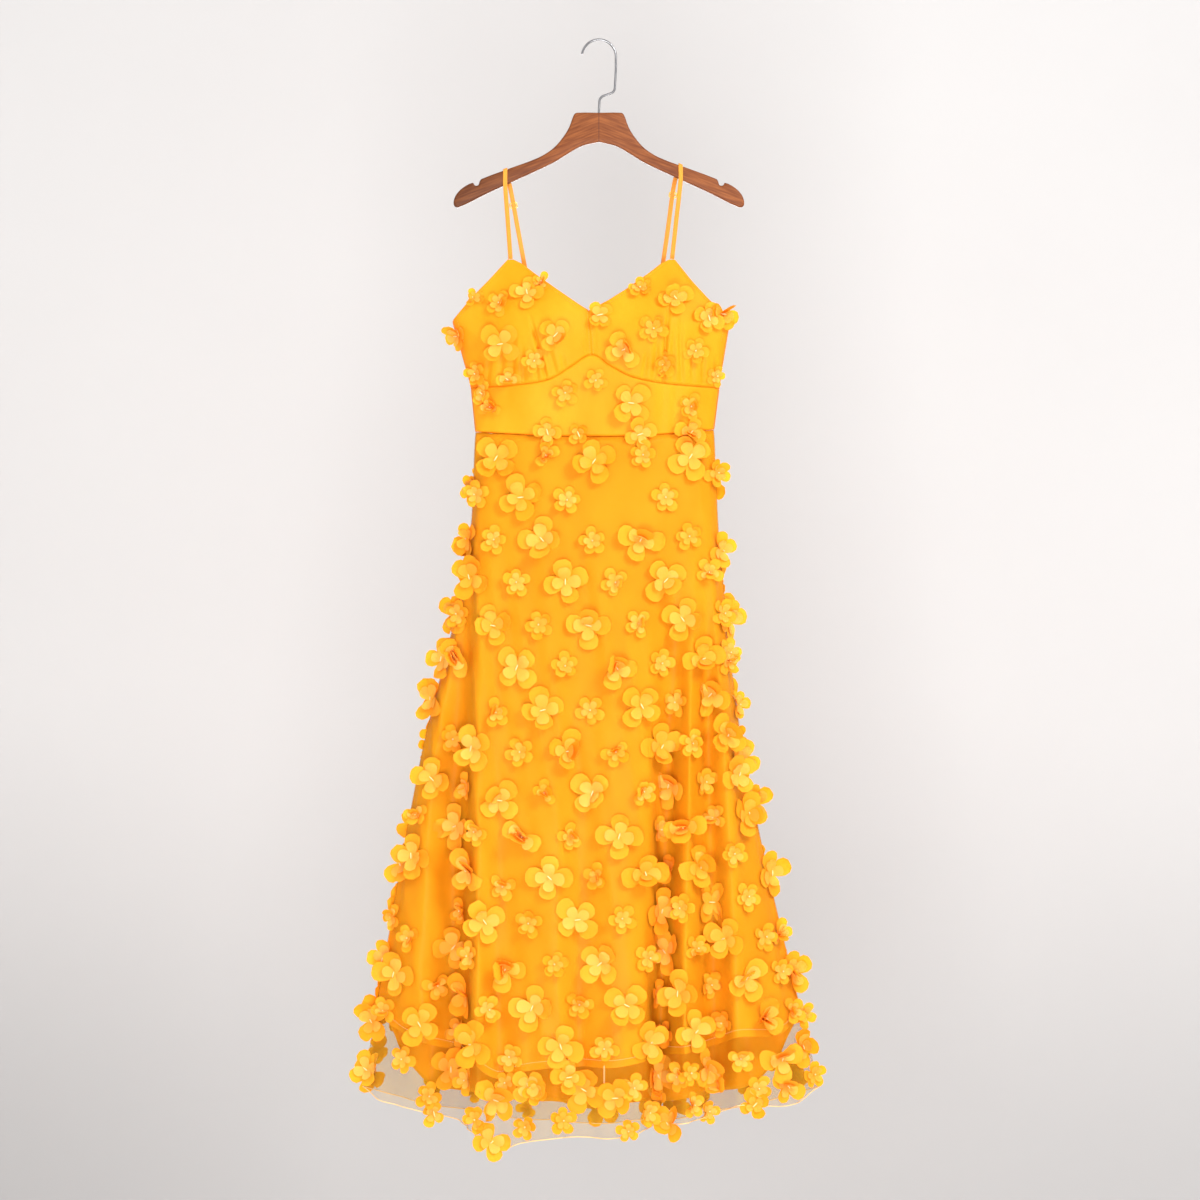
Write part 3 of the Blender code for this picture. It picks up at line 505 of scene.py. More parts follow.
def fold_point(side, fold, share):
    """A point of the skirt on one fold line, at a share of the way from waist to hem."""
    x_hip, x_mid, x_hem, y_hip, y_mid, y_hem, hem_drop = fold[1:]
    across = (x_hip - SIDE_LEFT[1]) / (SIDE_RIGHT[1] - SIDE_LEFT[1])
    left, right, front, back = body_level(WAIST_SEAM[0][1])
    x_waist = mix(left, right, across)
    y_waist = side * (front if side == FRONT else back) * math.sqrt(1 - (2 * across - 1) ** 2)
    waist_drop = smooth_through(WAIST_SEAM, x_waist) + SEAM_GAP
    drop = mix(waist_drop, hem_drop, share)
    levels = (waist_drop, HIP_DROP, MID_DROP, hem_drop)
    x = smooth_through(list(zip(levels, (x_waist, x_hip, x_mid, x_hem))), drop)
    y = smooth_through(list(zip(levels, (y_waist, y_hip, y_mid, y_hem))), drop)
    return x, y + side * SEAM_GAP / 2, -drop


SKIRT_SHARES = [LINING_SHARE * j / LINING_ROWS for j in range(LINING_ROWS + 1)]
SKIRT_SHARES += [mix(LINING_SHARE, 1.0, 0.5), 1.0]
print("rows of the skirt:", len(SKIRT_SHARES) - 1)


def share_at(shares, j):
    return float(np.interp(j, range(len(shares)), shares))


def skirt_rows(side, folds):
    def row_at(j, steps):
        share = share_at(SKIRT_SHARES, j)
        return smooth_line([fold_point(side, fold, share) for fold in folds], steps)

    return row_at


# %% Rows of the bodice
def shares_of(steps, columns):
    return [k / (columns * steps) for k in range(columns * steps + 1)]


def body_at(side, x, drop):
    """The bodice's point at this x and drop."""
    left, right, front, back = body_level(drop)
    cosine = max(-1.0, min(1.0, (left + right - 2 * x) / (right - left)))
    sine = math.sqrt(1 - cosine**2)
    y = side * (front if side == FRONT else back) * sine
    if side == FRONT:
        for bust_x, bust_drop, proud, spread in BUSTS:
            away = (x - bust_x) ** 2 + (drop - bust_drop) ** 2
            y -= proud * math.exp(-away / (2 * spread**2)) * sine
    return x, y + side * SEAM_GAP / 2, -drop


def cup_rows(armhole, neckline, sign):
    """Rows run from the strap tip down to the underbust seam. sign is -1 for the left cup."""
    side_x = body_level(armhole[0][1])[0 if sign < 0 else 1]
    low_x = body_level(UNDERBUST_SEAM[0][1])[0 if sign < 0 else 1]
    outer = [(low_x, UNDERBUST_SEAM[0][1]), (side_x, armhole[0][1]), *armhole[1:]]
    seam_shift = -sign * CUP_LAP
    inner = [(CENTRE_SEAM_X + seam_shift, smooth_through(UNDERBUST_SEAM, CENTRE_SEAM_X))]
    inner += [(NECK_POINT[0] + seam_shift, NECK_POINT[1]), *neckline[1:]]
    shares = list(reversed(CUP_ROWS))

    def row_at(j, steps):
        share = share_at(shares, j)
        side_point, middle_point = along(outer, share), along(inner, share)
        row = []
        for t in shares_of(steps, CUP_COLUMNS):
            t = t if sign < 0 else 1 - t
            x = mix(side_point[0], middle_point[0], t)
            drop = mix(side_point[1], middle_point[1], t)
            seam_x = mix(outer[0][0], inner[0][0], t)
            bow = smooth_through(UNDERBUST_SEAM, seam_x) - mix(outer[0][1], inner[0][1], t)
            row.append(body_at(FRONT, x, drop + bow * (1 - share) ** 2))
        return np.array(row)

    return row_at


def midriff_row(j, steps):
    left, right = body_level(UNDERBUST_SEAM[0][1])[:2]
    low_left, low_right = body_level(WAIST_SEAM[0][1])[:2]
    half = shares_of(steps, CUP_COLUMNS)
    tops = [mix(left, CENTRE_SEAM_X, t) for t in half]
    tops += [mix(CENTRE_SEAM_X, right, t) for t in half[1:]]
    row = []
    for x in tops:
        top = smooth_through(UNDERBUST_SEAM, x) + SEAM_GAP
        low_x = mix(low_left, low_right, (x - left) / (right - left))
        low = smooth_through(WAIST_SEAM, low_x)
        row.append(body_at(FRONT, mix(x, low_x, j / MIDRIFF_ROWS), mix(top, low, j / MIDRIFF_ROWS)))
    return np.array(row)


def back_edge(x):
    """Drop of the back's upper edge at this x."""
    left, right = body_level(BACK_EDGE_DROP)[:2]
    across = max(0.0, min(1.0, (x - left) / (right - left)))
    return BACK_EDGE_DROP + BACK_EDGE_DIP * 2 * math.sqrt(across * (1 - across))


def back_row(j, steps):
    left, right = body_level(BACK_EDGE_DROP)[:2]
    low_left, low_right = body_level(WAIST_SEAM[0][1])[:2]
    row = []
    for share in shares_of(steps, BACK_COLUMNS):
        across = (1 - math.cos(math.pi * share)) / 2
        low = smooth_through(WAIST_SEAM, mix(low_left, low_right, across))
        drop = mix(back_edge(mix(left, right, across)), low, j / BACK_ROWS)
        row_left, row_right = body_level(drop)[:2]
        row.append(body_at(BACK, mix(row_left, row_right, across), drop))
    return np.array(row)


print("left cup stands out", round(-body_at(FRONT, *BUSTS[0][:2])[1]), "mm in front")


# %% [markdown]
# A panel keeps three things together: its points in space, the outward direction at each of them, and
# its flat pattern, in which u runs across from the middle and v runs down. Anything that is sewn on the
# panel is planned flat and then carried onto the folds, as a maker pins flowers on cut cloth.

# %% Panels
class Panel:
    def __init__(self, side, row_at, rows, row_steps, column_steps, relief=None):
        coarse = np.array([row_at(j, 1) for j in range(rows + 1)])
        steps = np.linalg.norm(np.diff(coarse, axis=1), axis=2)
        self.rows = np.zeros(coarse.shape[:2])
        self.rows[:, 1:] = np.cumsum(steps, axis=1)
        self.rows -= steps.sum(axis=1, keepdims=True) / 2
        drops = np.linalg.norm(np.diff(coarse, axis=0), axis=2).mean(axis=1)
        self.v = np.concatenate(([0.0], np.cumsum(drops)))
        self.side, self.row_steps, self.column_steps = side, row_steps, column_steps
        fine = [row_at(j / row_steps, column_steps) for j in range(rows * row_steps + 1)]
        self.points = np.array(fine)
        self.flat = self.flat_grid()
        self.directions()
        if relief is not None:
            self.points += self.normals * relief(self)[..., None]
            self.directions()

    def flat_grid(self):
        """The (u, v) of each fine point."""
        rows, columns = self.points.shape[:2]
        j = np.arange(rows) / self.row_steps
        i = np.arange(columns) / self.column_steps
        u = np.array([np.interp(i, range(self.rows.shape[1]), self.lines_at_row(a)) for a in j])
        v = np.interp(j, range(len(self.v)), self.v)
        return np.stack([u, np.repeat(v[:, None], columns, axis=1)], axis=2)

    def lines_at_row(self, j):
        k = min(int(j), len(self.v) - 2)
        return mix(self.rows[k], self.rows[k + 1], j - k)

    def directions(self):
        self.across = np.gradient(self.points, axis=1)
        self.down = np.gradient(self.points, axis=0)
        for field in (self.across, self.down):
            field /= np.linalg.norm(field, axis=2, keepdims=True)
        self.normals = np.cross(self.down, self.across) * -self.side
        self.normals /= np.linalg.norm(self.normals, axis=2, keepdims=True)

    def lines_at(self, v):
        k = int(np.searchsorted(self.v[1:-1], max(v, 0.0), side="right"))
        t = (v - self.v[k]) / (self.v[k + 1] - self.v[k])
        return mix(self.rows[k], self.rows[k + 1], t)

    def cells(self, u, v):
        """Row and column of flat places, and whether each lies on the cloth."""
        k = np.searchsorted(self.v[1:-1], v, side="right")
        t = (v - self.v[k]) / (self.v[k + 1] - self.v[k])
        lines = mix(self.rows[k], self.rows[k + 1], t[:, None])
        c = np.clip((lines <= u[:, None]).sum(axis=1) - 1, 0, lines.shape[1] - 2)
        pick = np.arange(len(u))
        s = (u - lines[pick, c]) / (lines[pick, c + 1] - lines[pick, c])
        inside = (s >= 0) & (s <= 1) & (t >= 0) & (t <= 1)
        return k + np.clip(t, 0, 1), c + np.clip(s, 0, 1), inside

    def at(self, j, i, fields=None):
        """Point, outward direction, across and down at rows and columns, or the fields asked for."""
        y, x = j * self.row_steps, i * self.column_steps
        y0 = np.clip(y.astype(int), 0, self.points.shape[0] - 2)
        x0 = np.clip(x.astype(int), 0, self.points.shape[1] - 2)
        t, s = (y - y0)[:, None], (x - x0)[:, None]
        found = []
        for field in fields or (self.points, self.normals, self.across, self.down):
            upper = mix(field[y0, x0], field[y0, x0 + 1], s)
            lower = mix(field[y0 + 1, x0], field[y0 + 1, x0 + 1], s)
            found.append(mix(upper, lower, t))
        return found

    def cut_off(self, end):
        """The same cloth cut off at a row that changes from column to column."""
        cut = copy.copy(self)
        columns = self.points.shape[1]
        count = round(float(end.mean())) * self.row_steps + 1
        j = (np.linspace(0.0, 1.0, count)[:, None] * end).ravel()
        i = np.tile(np.arange(columns) / self.column_steps, count)
        fields = self.at(j, i, (self.points, self.normals, self.flat))
        cut.points, cut.normals, cut.flat = (field.reshape(count, columns, -1) for field in fields)
        return cut


# %% [markdown]
# ## Creases and gathers
# Besides the big folds of the tables, cloth has soft creases of its own. They are given one by one: each row
# of a table is one trough that starts at a seam, and most fade out. A few slow waves from seeded random
# numbers keep the long panels from looking ironed.

# %% Creases
# Troughs of the cups: x at the underbust seam, x and drop at the top, depth, width
CUP_CREASES = (
    (-70.5, -94.0, 368.0, 8.0, 2.1),
    (-64.0, -84.0, 370.0, 3.4, 6.0),
    (-57.0, -68.0, 412.0, 2.6, 3.0),
    (-82.0, -92.0, 412.0, 2.6, 3.0),
    (-101.0, -104.0, 408.0, 2.6, 3.6),
    (-118.0, -114.0, 384.0, 2.8, 4.0),
    (-136.0, -126.0, 402.0, 2.6, 4.0),
    (-152.0, -146.0, 414.0, 2.2, 3.4),
    (-46.0, -50.0, 425.0, 1.8, 3.0),
    (-18.4, -18.2, 362.0, 1.2, 1.5),
    (-3.6, -6.4, 362.0, 0.9, 1.5),
    (87.0, 94.5, 358.0, 8.0, 2.1),
    (74.0, 80.0, 396.0, 2.8, 3.4),
    (99.0, 101.5, 380.0, 2.6, 3.0),
    (112.0, 109.5, 366.0, 3.6, 2.8),
    (127.0, 125.0, 398.0, 2.8, 3.0),
    (141.0, 142.0, 412.0, 3.0, 3.0),
    (159.0, 158.0, 426.0, 3.6, 2.2),
    (60.0, 66.0, 418.0, 2.0, 3.4),
)
# Troughs of the midriff: x at its top, x at its foot, depth, width
MIDRIFF_CREASES = (
    (-128.0, -118.0, 1.2, 16.0),
    (-52.0, -58.0, 0.9, 14.0),
    (34.0, 26.0, 1.1, 15.0),
    (88.0, 84.0, 1.6, 8.0),
    (104.0, 100.0, 1.4, 7.0),
    (140.0, 136.0, 1.2, 10.0),
)
# Troughs of the skirt below the waist seam: x at the seam, x and drop where they end, depth, width
WAIST_CREASES = (
    (-158.0, -166.0, 640.0, 2.6, 6.0),
    (-132.0, -138.0, 690.0, 1.8, 10.0),
    (-84.0, -90.0, 640.0, 1.2, 12.0),
    (-40.0, -38.0, 660.0, 1.0, 12.0),
    (22.0, 30.0, 640.0, 1.1, 12.0),
    (84.0, 92.0, 760.0, 2.2, 9.0),
    (112.0, 120.0, 700.0, 2.0, 8.0),
    (140.0, 147.0, 680.0, 2.2, 6.0),
)
# How much of a gather's depth is lost where the seam holds it
SEWN_FLAT = 0.8
# An edge rolls in, and the stitches beside it pull a line: depth, distance and width
EDGE_ROLL = 0.55
EDGE_ROLL_WIDTH = 1.8
EDGE_STITCH = 0.5
EDGE_STITCH_AWAY = 5.0
EDGE_STITCH_WIDTH = 1.2
print("creases by hand:", len(CUP_CREASES) + len(MIDRIFF_CREASES) + len(WAIST_CREASES))


# %% How creases shape a panel
# Slow waves of the skirt: added to the seed, height, length, shares of the panel where they start and
# are full
SKIRT_WAVES = (
    (0, 3.4, 46.0, 0.0, 0.25),
    (50, 2.0, 120.0, 0.0, 0.5),
    (90, 7.0, 64.0, 0.86, 1.0),
)
# Waves in a sum, and how uneven they are: share of the length, drift, and how slowly they grow and fade
WAVE_COUNT = 5
WAVE_LENGTHS = (0.6, 1.7)
WAVE_DRIFT = 0.22
WAVE_RUNS = (70, 160)
# The side seams hold the cloth still: how far in the waves are full
SEAM_HOLD = 20.0
# Share of a cup's trough, from its top to the seam, where the seam starts to hold it
SEWN_FROM = 0.80


def faded(share):
    """0 to 1 with no corner at either end."""
    share = np.clip(share, 0.0, 1.0)
    return share * share * (3 - 2 * share)


def trough(away, deep, width):
    """Depth of a soft trough at a distance from its middle line."""
    return deep * np.exp(-((away / width) ** 2))


def from_sides(panel):
    """How far each point is from the nearer side of the flat cloth."""
    u = panel.flat[..., 0]
    return np.minimum(u - u[:, :1], u[:, -1:] - u)


def rolled_edges(panel, names):
    """How far the cloth turns in at its named edges."""
    u, v = panel.flat[..., 0], panel.flat[..., 1]
    away = {
        "top": v,
        "foot": panel.v[-1] - v,
        "left": u - u[:, :1],
        "right": u[:, -1:] - u,
    }
    roll = sum(trough(away[name], EDGE_ROLL, EDGE_ROLL_WIDTH) for name in names)
    sides = [away[name] for name in names if name in ("left", "right")]
    seam = sum(trough(side - EDGE_STITCH_AWAY, EDGE_STITCH, EDGE_STITCH_WIDTH) for side in sides)
    return -roll - seam


def cup_relief(panel):
    x, drop = panel.points[..., 0], -panel.points[..., 2]
    seam = np.array([smooth_through(UNDERBUST_SEAM, a) for a in panel.points[-1, :, 0]])
    depth = np.zeros(x.shape)
    for x_seam, x_top, drop_top, deep, width in CUP_CREASES:
        share = (drop - drop_top) / (seam[None, :] - drop_top)
        line = mix(x_top, x_seam, np.clip(share, 0.0, 1.0))
        sewn = 1 - SEWN_FLAT * faded((share - SEWN_FROM) / (1 - SEWN_FROM))
        depth -= trough(x - line, deep, width) * faded(share * 2.2) * sewn
    return depth + rolled_edges(panel, ("foot", "left", "right"))


def midriff_relief(panel):
    x = panel.points[..., 0]
    share = panel.flat[..., 1] / panel.v[-1]
    depth = rolled_edges(panel, ("top", "foot"))
    for x_top, x_low, deep, width in MIDRIFF_CREASES:
        depth = depth - trough(x - mix(x_top, x_low, share), deep, width)
    return depth


def slow_waves(panel, seed, height, length):
    """Soft uneven waves across the panel that drift as they run down it."""
    dice = random.Random(seed)
    u, v = panel.flat[..., 0], panel.flat[..., 1]
    waves = np.zeros(u.shape)
    for _ in range(WAVE_COUNT):
        wide = length * dice.uniform(*WAVE_LENGTHS)
        drift = dice.uniform(-WAVE_DRIFT, WAVE_DRIFT)
        strong = 0.6 + 0.4 * np.sin(v / dice.uniform(*WAVE_RUNS) + dice.uniform(0, math.tau))
        waves += strong * np.sin(math.tau * (u + drift * v) / wide + dice.uniform(0, math.tau))
    return waves * height / WAVE_COUNT


def skirt_relief(seed):
    def relief(panel):
        x, drop = panel.points[..., 0], -panel.points[..., 2]
        share = panel.flat[..., 1] / panel.v[-1]
        depth = sum(
            slow_waves(panel, seed + more, height, length) * faded((share - start) / (full - start))
            for more, height, length, start, full in SKIRT_WAVES
        )
        for x_seam, x_end, drop_end, deep, width in WAIST_CREASES:
            run = (drop - WAIST_SEAM[0][1]) / (drop_end - WAIST_SEAM[0][1])
            line = mix(x_seam, x_end, np.clip(run, 0.0, 1.0))
            fade = faded(1 - run) * faded(run * 8)
            depth -= trough(x - line, deep, width) * fade
        return depth * faded(from_sides(panel) / SEAM_HOLD) + rolled_edges(panel, ("top",))

    return relief


def back_relief(panel):
    waves = slow_waves(panel, 71, 2.4, 90.0) + slow_waves(panel, 72, 1.0, 30.0)
    return waves * faded(from_sides(panel) / SEAM_HOLD) + rolled_edges(panel, ("top", "foot"))


# %% [markdown]
# ## Cutting the cloth
# A panel's grid of points becomes a mesh sheet, and Solidify gives it the thickness of real cloth on
# its inner side. The flat pattern is kept as a UV map in metres for the weave.

# %% Cloth sheets
def make_piece(name, points, faces, materials, slot):
    """A smooth mesh object from points in millimetres, with its materials. The slot argument is not used."""
    mesh = bpy.data.meshes.new(name)
    mesh.from_pydata([tuple(p) for p in np.asarray(points) * MM], [], faces)
    mesh.update()
    for material in materials:
        mesh.materials.append(material)
    piece = bpy.data.objects.new(name, mesh)
    bpy.context.scene.collection.objects.link(piece)
    mesh.shade_smooth()
    return piece


def write_flat(piece, flat, faces):
    """The flat pattern, given in millimetres, as a UV map in metres."""
    layer = piece.data.uv_layers.new(name="flat")
    corners = np.concatenate(faces)
    layer.data.foreach_set("uv", (np.asarray(flat) * MM)[corners].astype(np.float32).ravel())


def thicken(piece, thickness, offset):
    """Solidify by a thickness in metres. Offset -1 grows inwards, and 0 to both sides."""
    wall = piece.modifiers.new("Thickness", "SOLIDIFY")
    wall.thickness = thickness
    wall.offset = offset
    make_active(piece)
    bpy.ops.object.modifier_apply(modifier=wall.name)


def cloth_sheet(name, panel, thickness, material, slot, inset=0.0, first=0):
    """A sheet of a panel's cloth from one of its fine rows down."""
    points = (panel.points - panel.normals * inset)[first:]
    count, columns = points.shape[:2]
    faces = []
    for r in range(count - 1):
        for c in range(columns - 1):
            a, b = r * columns + c, (r + 1) * columns + c
            loop = (a, b, b + 1, a + 1) if panel.side == FRONT else (a, a + 1, b + 1, b)
            faces.append(loop)
    piece = make_piece(name, points.reshape(-1, 3), faces, [material], slot)
    write_flat(piece, panel.flat[first:].reshape(-1, 2), faces)
    thicken(piece, thickness * MM, -1.0)
    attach(piece, "root")
    return piece


def cut_sheet(name, panel, thickness, material, slot, node, inset=0.0):
    """A sheet that stands for a solid, with its cut size measured along the cloth."""
    piece = cloth_sheet(name, panel, thickness, material, slot, inset)
    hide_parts(node)
    size = np.ptp(panel.flat.reshape(-1, 2), axis=0)
    steps = np.linalg.norm(np.diff(panel.points, axis=1), axis=2)
    drops = np.linalg.norm(np.diff(panel.points, axis=0), axis=2)
    area = (steps[:-1] + steps[1:]).sum() / 2 * drops.mean() / 1e6
    print(name, "flat", (size / 1000).round(3), "hem", (steps[-1].sum() / 1000).round(3),
          "area", round(float(area), 3))
    return piece


# %% Net overlay
# Each cloth: thickness in millimetres, finish, slot
NET_CLOTH = (0.5, net, "flowered_mesh")
SATIN_CLOTH = (0.8, satin, "satin_lining")
BODICE_CLOTH = (1.4, bodice_cloth, "flowered_mesh")
# Fine rows and columns of the cloth for each one of its table
SKIRT_FINE = (7, 8)

skirt_front, skirt_back = (
    Panel(side, skirt_rows(side, folds), SKIRT_ROWS, *SKIRT_FINE, skirt_relief(seed))
    for side, folds, seed in ((FRONT, FRONT_FOLDS, 31), (BACK, BACK_FOLDS, 41))
)
overlay_front = cut_sheet("overlay_front", skirt_front, *NET_CLOTH, "skirt_front")
overlay_back = cut_sheet("overlay_back", skirt_back, *NET_CLOTH, "skirt_back")

# %% [markdown]
# The lining hangs just inside the net and is shorter. At the side seams the two are sewn together, so
# there it lies closer to the net and its hem rises a little. The back lining hangs lower than the front
# one, so that it shows below the front hem.

# %% Lining
# Rows of the skirt that the hem hangs below LINING_ROWS: at the left and right seam, and behind
LINING_SEAM_ROWS = (-0.3, -0.1)
LINING_BACK_EXTRA = 1.45
# Columns over which the hem comes down from a side seam
LINING_SEAM_COLUMNS = 2.2
# How close the lining lies at the seams, as a share of its inset, and how far from them that ends
LINING_SEWN_SHARE = 0.3
LINING_SEWN_AWAY = 14.0


def lining_end(panel, extra):
    """The row where the lining ends in each column: higher at the seams, lower in the middle."""
    i = np.arange(panel.points.shape[1]) / panel.column_steps
    left, right = (1 - faded(side / LINING_SEAM_COLUMNS) for side in (i, i[-1] - i))
    middle = extra * (1 - left) * (1 - right)
    return LINING_ROWS + LINING_SEAM_ROWS[0] * left + LINING_SEAM_ROWS[1] * right + middle


def lining_inset(panel, depth):
    """How far inside the net the lining hangs: close to it at the side seams, where both are sewn."""
    loose = faded(from_sides(panel) / LINING_SEWN_AWAY)
    return (depth * mix(LINING_SEWN_SHARE, 1.0, loose))[..., None]


lining_panel_front, lining_panel_back = (
    panel.cut_off(lining_end(panel, extra))
    for panel, extra in ((skirt_front, 0.0), (skirt_back, LINING_BACK_EXTRA))
)
lining_front, lining_back = (
    cut_sheet("lining_cloth_" + end, panel, *SATIN_CLOTH, "lining_" + end, lining_inset(panel, LINING_INSET))
    for end, panel in (("front", lining_panel_front), ("back", lining_panel_back))
)

# %% Turned hems of the lining
HEM_FOLD_ROWS = 1
HEM_CREASE_ANGLE = math.radians(40)


def turned_hem(name, panel):
    """The lining's edge turned up and sewn: a band of one more layer on its inner side."""
    inset = lining_inset(panel, LINING_INSET - SATIN_CLOTH[0])
    first = panel.points.shape[0] - 1 - HEM_FOLD_ROWS
    band = cloth_sheet(name, panel, *SATIN_CLOTH, inset, first)
    bpy.ops.object.shade_smooth_by_angle(angle=HEM_CREASE_ANGLE)
    return band


lining_hem_front = turned_hem("lining_hem_front", lining_panel_front)
lining_hem_back = turned_hem("lining_hem_back", lining_panel_back)
print("turned hems:", lining_hem_front.name, lining_hem_back.name)

# %% Bodice cloth
CUP_FINE = (8, 14)
MIDRIFF_FINE = (10, 8)
BACK_FINE = (12, 8)

cup_left = Panel(FRONT, cup_rows(ARMHOLE_LEFT, NECKLINE_LEFT, -1), CUP_LAST, *CUP_FINE, cup_relief)
cup_right = Panel(FRONT, cup_rows(ARMHOLE_RIGHT, NECKLINE_RIGHT, 1), CUP_LAST, *CUP_FINE, cup_relief)
midriff = Panel(FRONT, midriff_row, MIDRIFF_ROWS, *MIDRIFF_FINE, midriff_relief)
back = Panel(BACK, back_row, BACK_ROWS, *BACK_FINE, back_relief)
cup_left_cloth = cut_sheet("cup_cloth_left", cup_left, *BODICE_CLOTH, "cup_left")
cup_right_cloth = cut_sheet("cup_cloth_right", cup_right, *BODICE_CLOTH, "cup_right")
midriff_cloth = cut_sheet("midriff_cloth", midriff, *BODICE_CLOTH, "midriff_front")
back_cloth = cut_sheet("back_cloth", back, *BODICE_CLOTH, "bodice_back")


# %% [markdown]
# ## The flowers
# Each flower is cut cloth in two layers: organza petals below and smaller satin petals above,
# held by a stitch in the middle. Large ones have four petals and a bar of thread, and small ones have
# five and a knot. One petal is modelled by hand in a few shapes, and every flower is put together from
# turned and lifted copies of it.

# %% Petal finishes
ORGANZA_DEEP = (0.98, 0.266, 0.008)
ORGANZA_LIGHT = (0.99, 0.332, 0.020)
PETAL_DEEP = (0.98, 0.315, 0.020)
PETAL_LIGHT = (0.99, 0.420, 0.070)
THREAD_LOW = (0.92, 0.52, 0.16)
THREAD_HIGH = (0.95, 0.66, 0.34)
THREAD_TWIST = 2200.0


def petal_cloth(name, low, high, roughness):
    """Cut cloth whose tone changes from petal to petal, with painted shade towards the stitched middle and a
    painted sheen towards the tip.
    """
    material, tree, shader = new_material(name, roughness, gloss=CLOTH_GLOSS, glow=PETAL_GLOW)
    tone = add_node(tree, "ShaderNodeAttribute", {"attribute_name": "tone"})
    colour = blend_colours(tree, tone.outputs["Fac"], low, high, 0.0, 1.0)
    tree.links.new(colour, shader.inputs["Base Color"])
    weave = noise(tree, object_place(tree), 1400.0, 2.0)
    bump_from(tree, shader, weave, 0.15, 0.0005)
    return material


organza = petal_cloth("organza_petal", ORGANZA_DEEP, ORGANZA_LIGHT, 0.55)
petal_satin = petal_cloth("satin_petal", PETAL_DEEP, PETAL_LIGHT, 0.45)
thread = mottled("pale_thread", 0.5, THREAD_LOW, THREAD_HIGH, THREAD_TWIST, 2.0, gloss=0.3)
print("petal finishes:", organza.name, petal_satin.name, thread.name)

# %% [markdown]
# A petal starts as a small grid. Its rows are selected one at a time, scaled to the petal's width and
# lifted to its curl, the way one would shape it by hand with S and G.

# %% Model the petals
PETAL_STEPS = 4
PETAL_THICKNESS = 0.008
# Rows from the stitched end to the tip: share of the length, half width
PETAL_ROWS = ((0.02, 0.13), (0.32, 0.34), (0.60, 0.455), (0.84, 0.42), (0.975, 0.24))
# Petal shapes: name, lift of the five rows, lift of the outer columns, turn of the tip
PETAL_SHAPES = (
    ("cupped", (0.0, 0.02, 0.03, 0.05, 0.08), 0.04, 0.0),
    ("flat", (0.0, 0.02, 0.03, 0.03, 0.02), 0.01, 0.03),
    ("drooping", (0.0, 0.04, 0.06, 0.04, -0.02), -0.04, 0.0),
    ("twisted", (0.0, 0.02, 0.04, 0.05, 0.06), 0.03, 0.10),
    ("curled", (0.0, 0.01, 0.03, 0.08, 0.17), 0.06, -0.04),
)
TIP_ROUNDING = 0.035


def edit_all(obj, *steps):
    """Steps of edit mode on the whole of a mesh."""
    make_active(obj)
    bpy.ops.object.mode_set(mode="EDIT")
    bpy.ops.mesh.select_all(action="SELECT")
    for step in steps:
        step()
    bpy.ops.object.mode_set(mode="OBJECT")


def select_where(edit_mesh, test):
    for vert in edit_mesh.verts:
        vert.select_set(test(vert.co))
    edit_mesh.select_flush(False)


def model_petal(name, lifts, side_lift, tip_turn):
    """A petal one unit long with its stitched end at the origin. It is shaped ten times too long."""
    deselect_all()
    bpy.ops.mesh.primitive_grid_add(x_subdivisions=PETAL_STEPS, y_subdivisions=PETAL_STEPS, size=2.0)
    petal = bpy.context.object
    petal.name = name
    bpy.ops.object.mode_set(mode="EDIT")
    bpy.ops.mesh.select_mode(type="VERT")
    edit_mesh = bmesh.from_edit_mesh(petal.data)
    tiny = 0.01
    for column in (-1.0, 1.0):
        select_where(edit_mesh, lambda co: abs(co.x - column) < tiny)
        bpy.ops.transform.translate(value=(0.0, 0.0, side_lift))
    for k, ((share, half), lift) in enumerate(zip(PETAL_ROWS, lifts)):
        row_y = -1.0 + 2.0 * k / PETAL_STEPS
        select_where(edit_mesh, lambda co: abs(co.y - row_y) < tiny)
        bpy.ops.transform.resize(value=(half, 1.0, 1.0), center_override=(0.0, row_y, 0.0))
        place = (tip_turn * share**2, share * 10.0 - row_y, lift)
        bpy.ops.transform.translate(value=place)
    select_where(edit_mesh, lambda co: co.y > 9.0 and abs(co.x - tip_turn) < half * 0.8)
    bpy.ops.transform.translate(value=(0.0, TIP_ROUNDING * 10.0, 0.0))
    bpy.ops.object.mode_set(mode="OBJECT")
    edit_all(petal, lambda: bpy.ops.transform.resize(value=(1.0, 0.1, 1.0), center_override=(0.0, 0.0, 0.0)))
    thicken(petal, PETAL_THICKNESS, 0.0)
    return petal


def taken_apart(obj):
    """The points and faces of a modelled shape, which is then removed."""
    points = np.array([tuple(v.co) for v in obj.data.vertices])
    # Sorted, because the faces of a new sphere come in another order each time
    faces = sorted(tuple(p.vertices) for p in obj.data.polygons)
    mesh = obj.data
    bpy.data.objects.remove(obj)
    bpy.data.meshes.remove(mesh)
    return points, faces


petals = [taken_apart(model_petal(*shape)) for shape in PETAL_SHAPES]
print("petal shapes:", len(petals), "faces each:", len(petals[0][1]))

# %% Model the thread bar and the knot
BAR_STRETCH = 4.6
deselect_all()
bpy.ops.mesh.primitive_uv_sphere_add(segments=6, ring_count=5, radius=1.0)
bar = bpy.context.object
stretch = (1.0, 1.0, BAR_STRETCH)
edit_all(bar, lambda: bpy.ops.transform.resize(value=stretch, center_override=(0.0, 0.0, 0.0)))
bar_points, bar_faces = taken_apart(bar)
deselect_all()
bpy.ops.mesh.primitive_ico_sphere_add(subdivisions=1, radius=1.0)
knot_points, knot_faces = taken_apart(bpy.context.object)
print("thread bar faces:", len(bar_faces), "knot faces:", len(knot_faces))

# %% [markdown]
# The flowers stand in staggered rows, large and small in turn. A seeded random number shifts and turns
# each one, so the same places come out every time, and they are the places of the raised flowers on
# the solids.

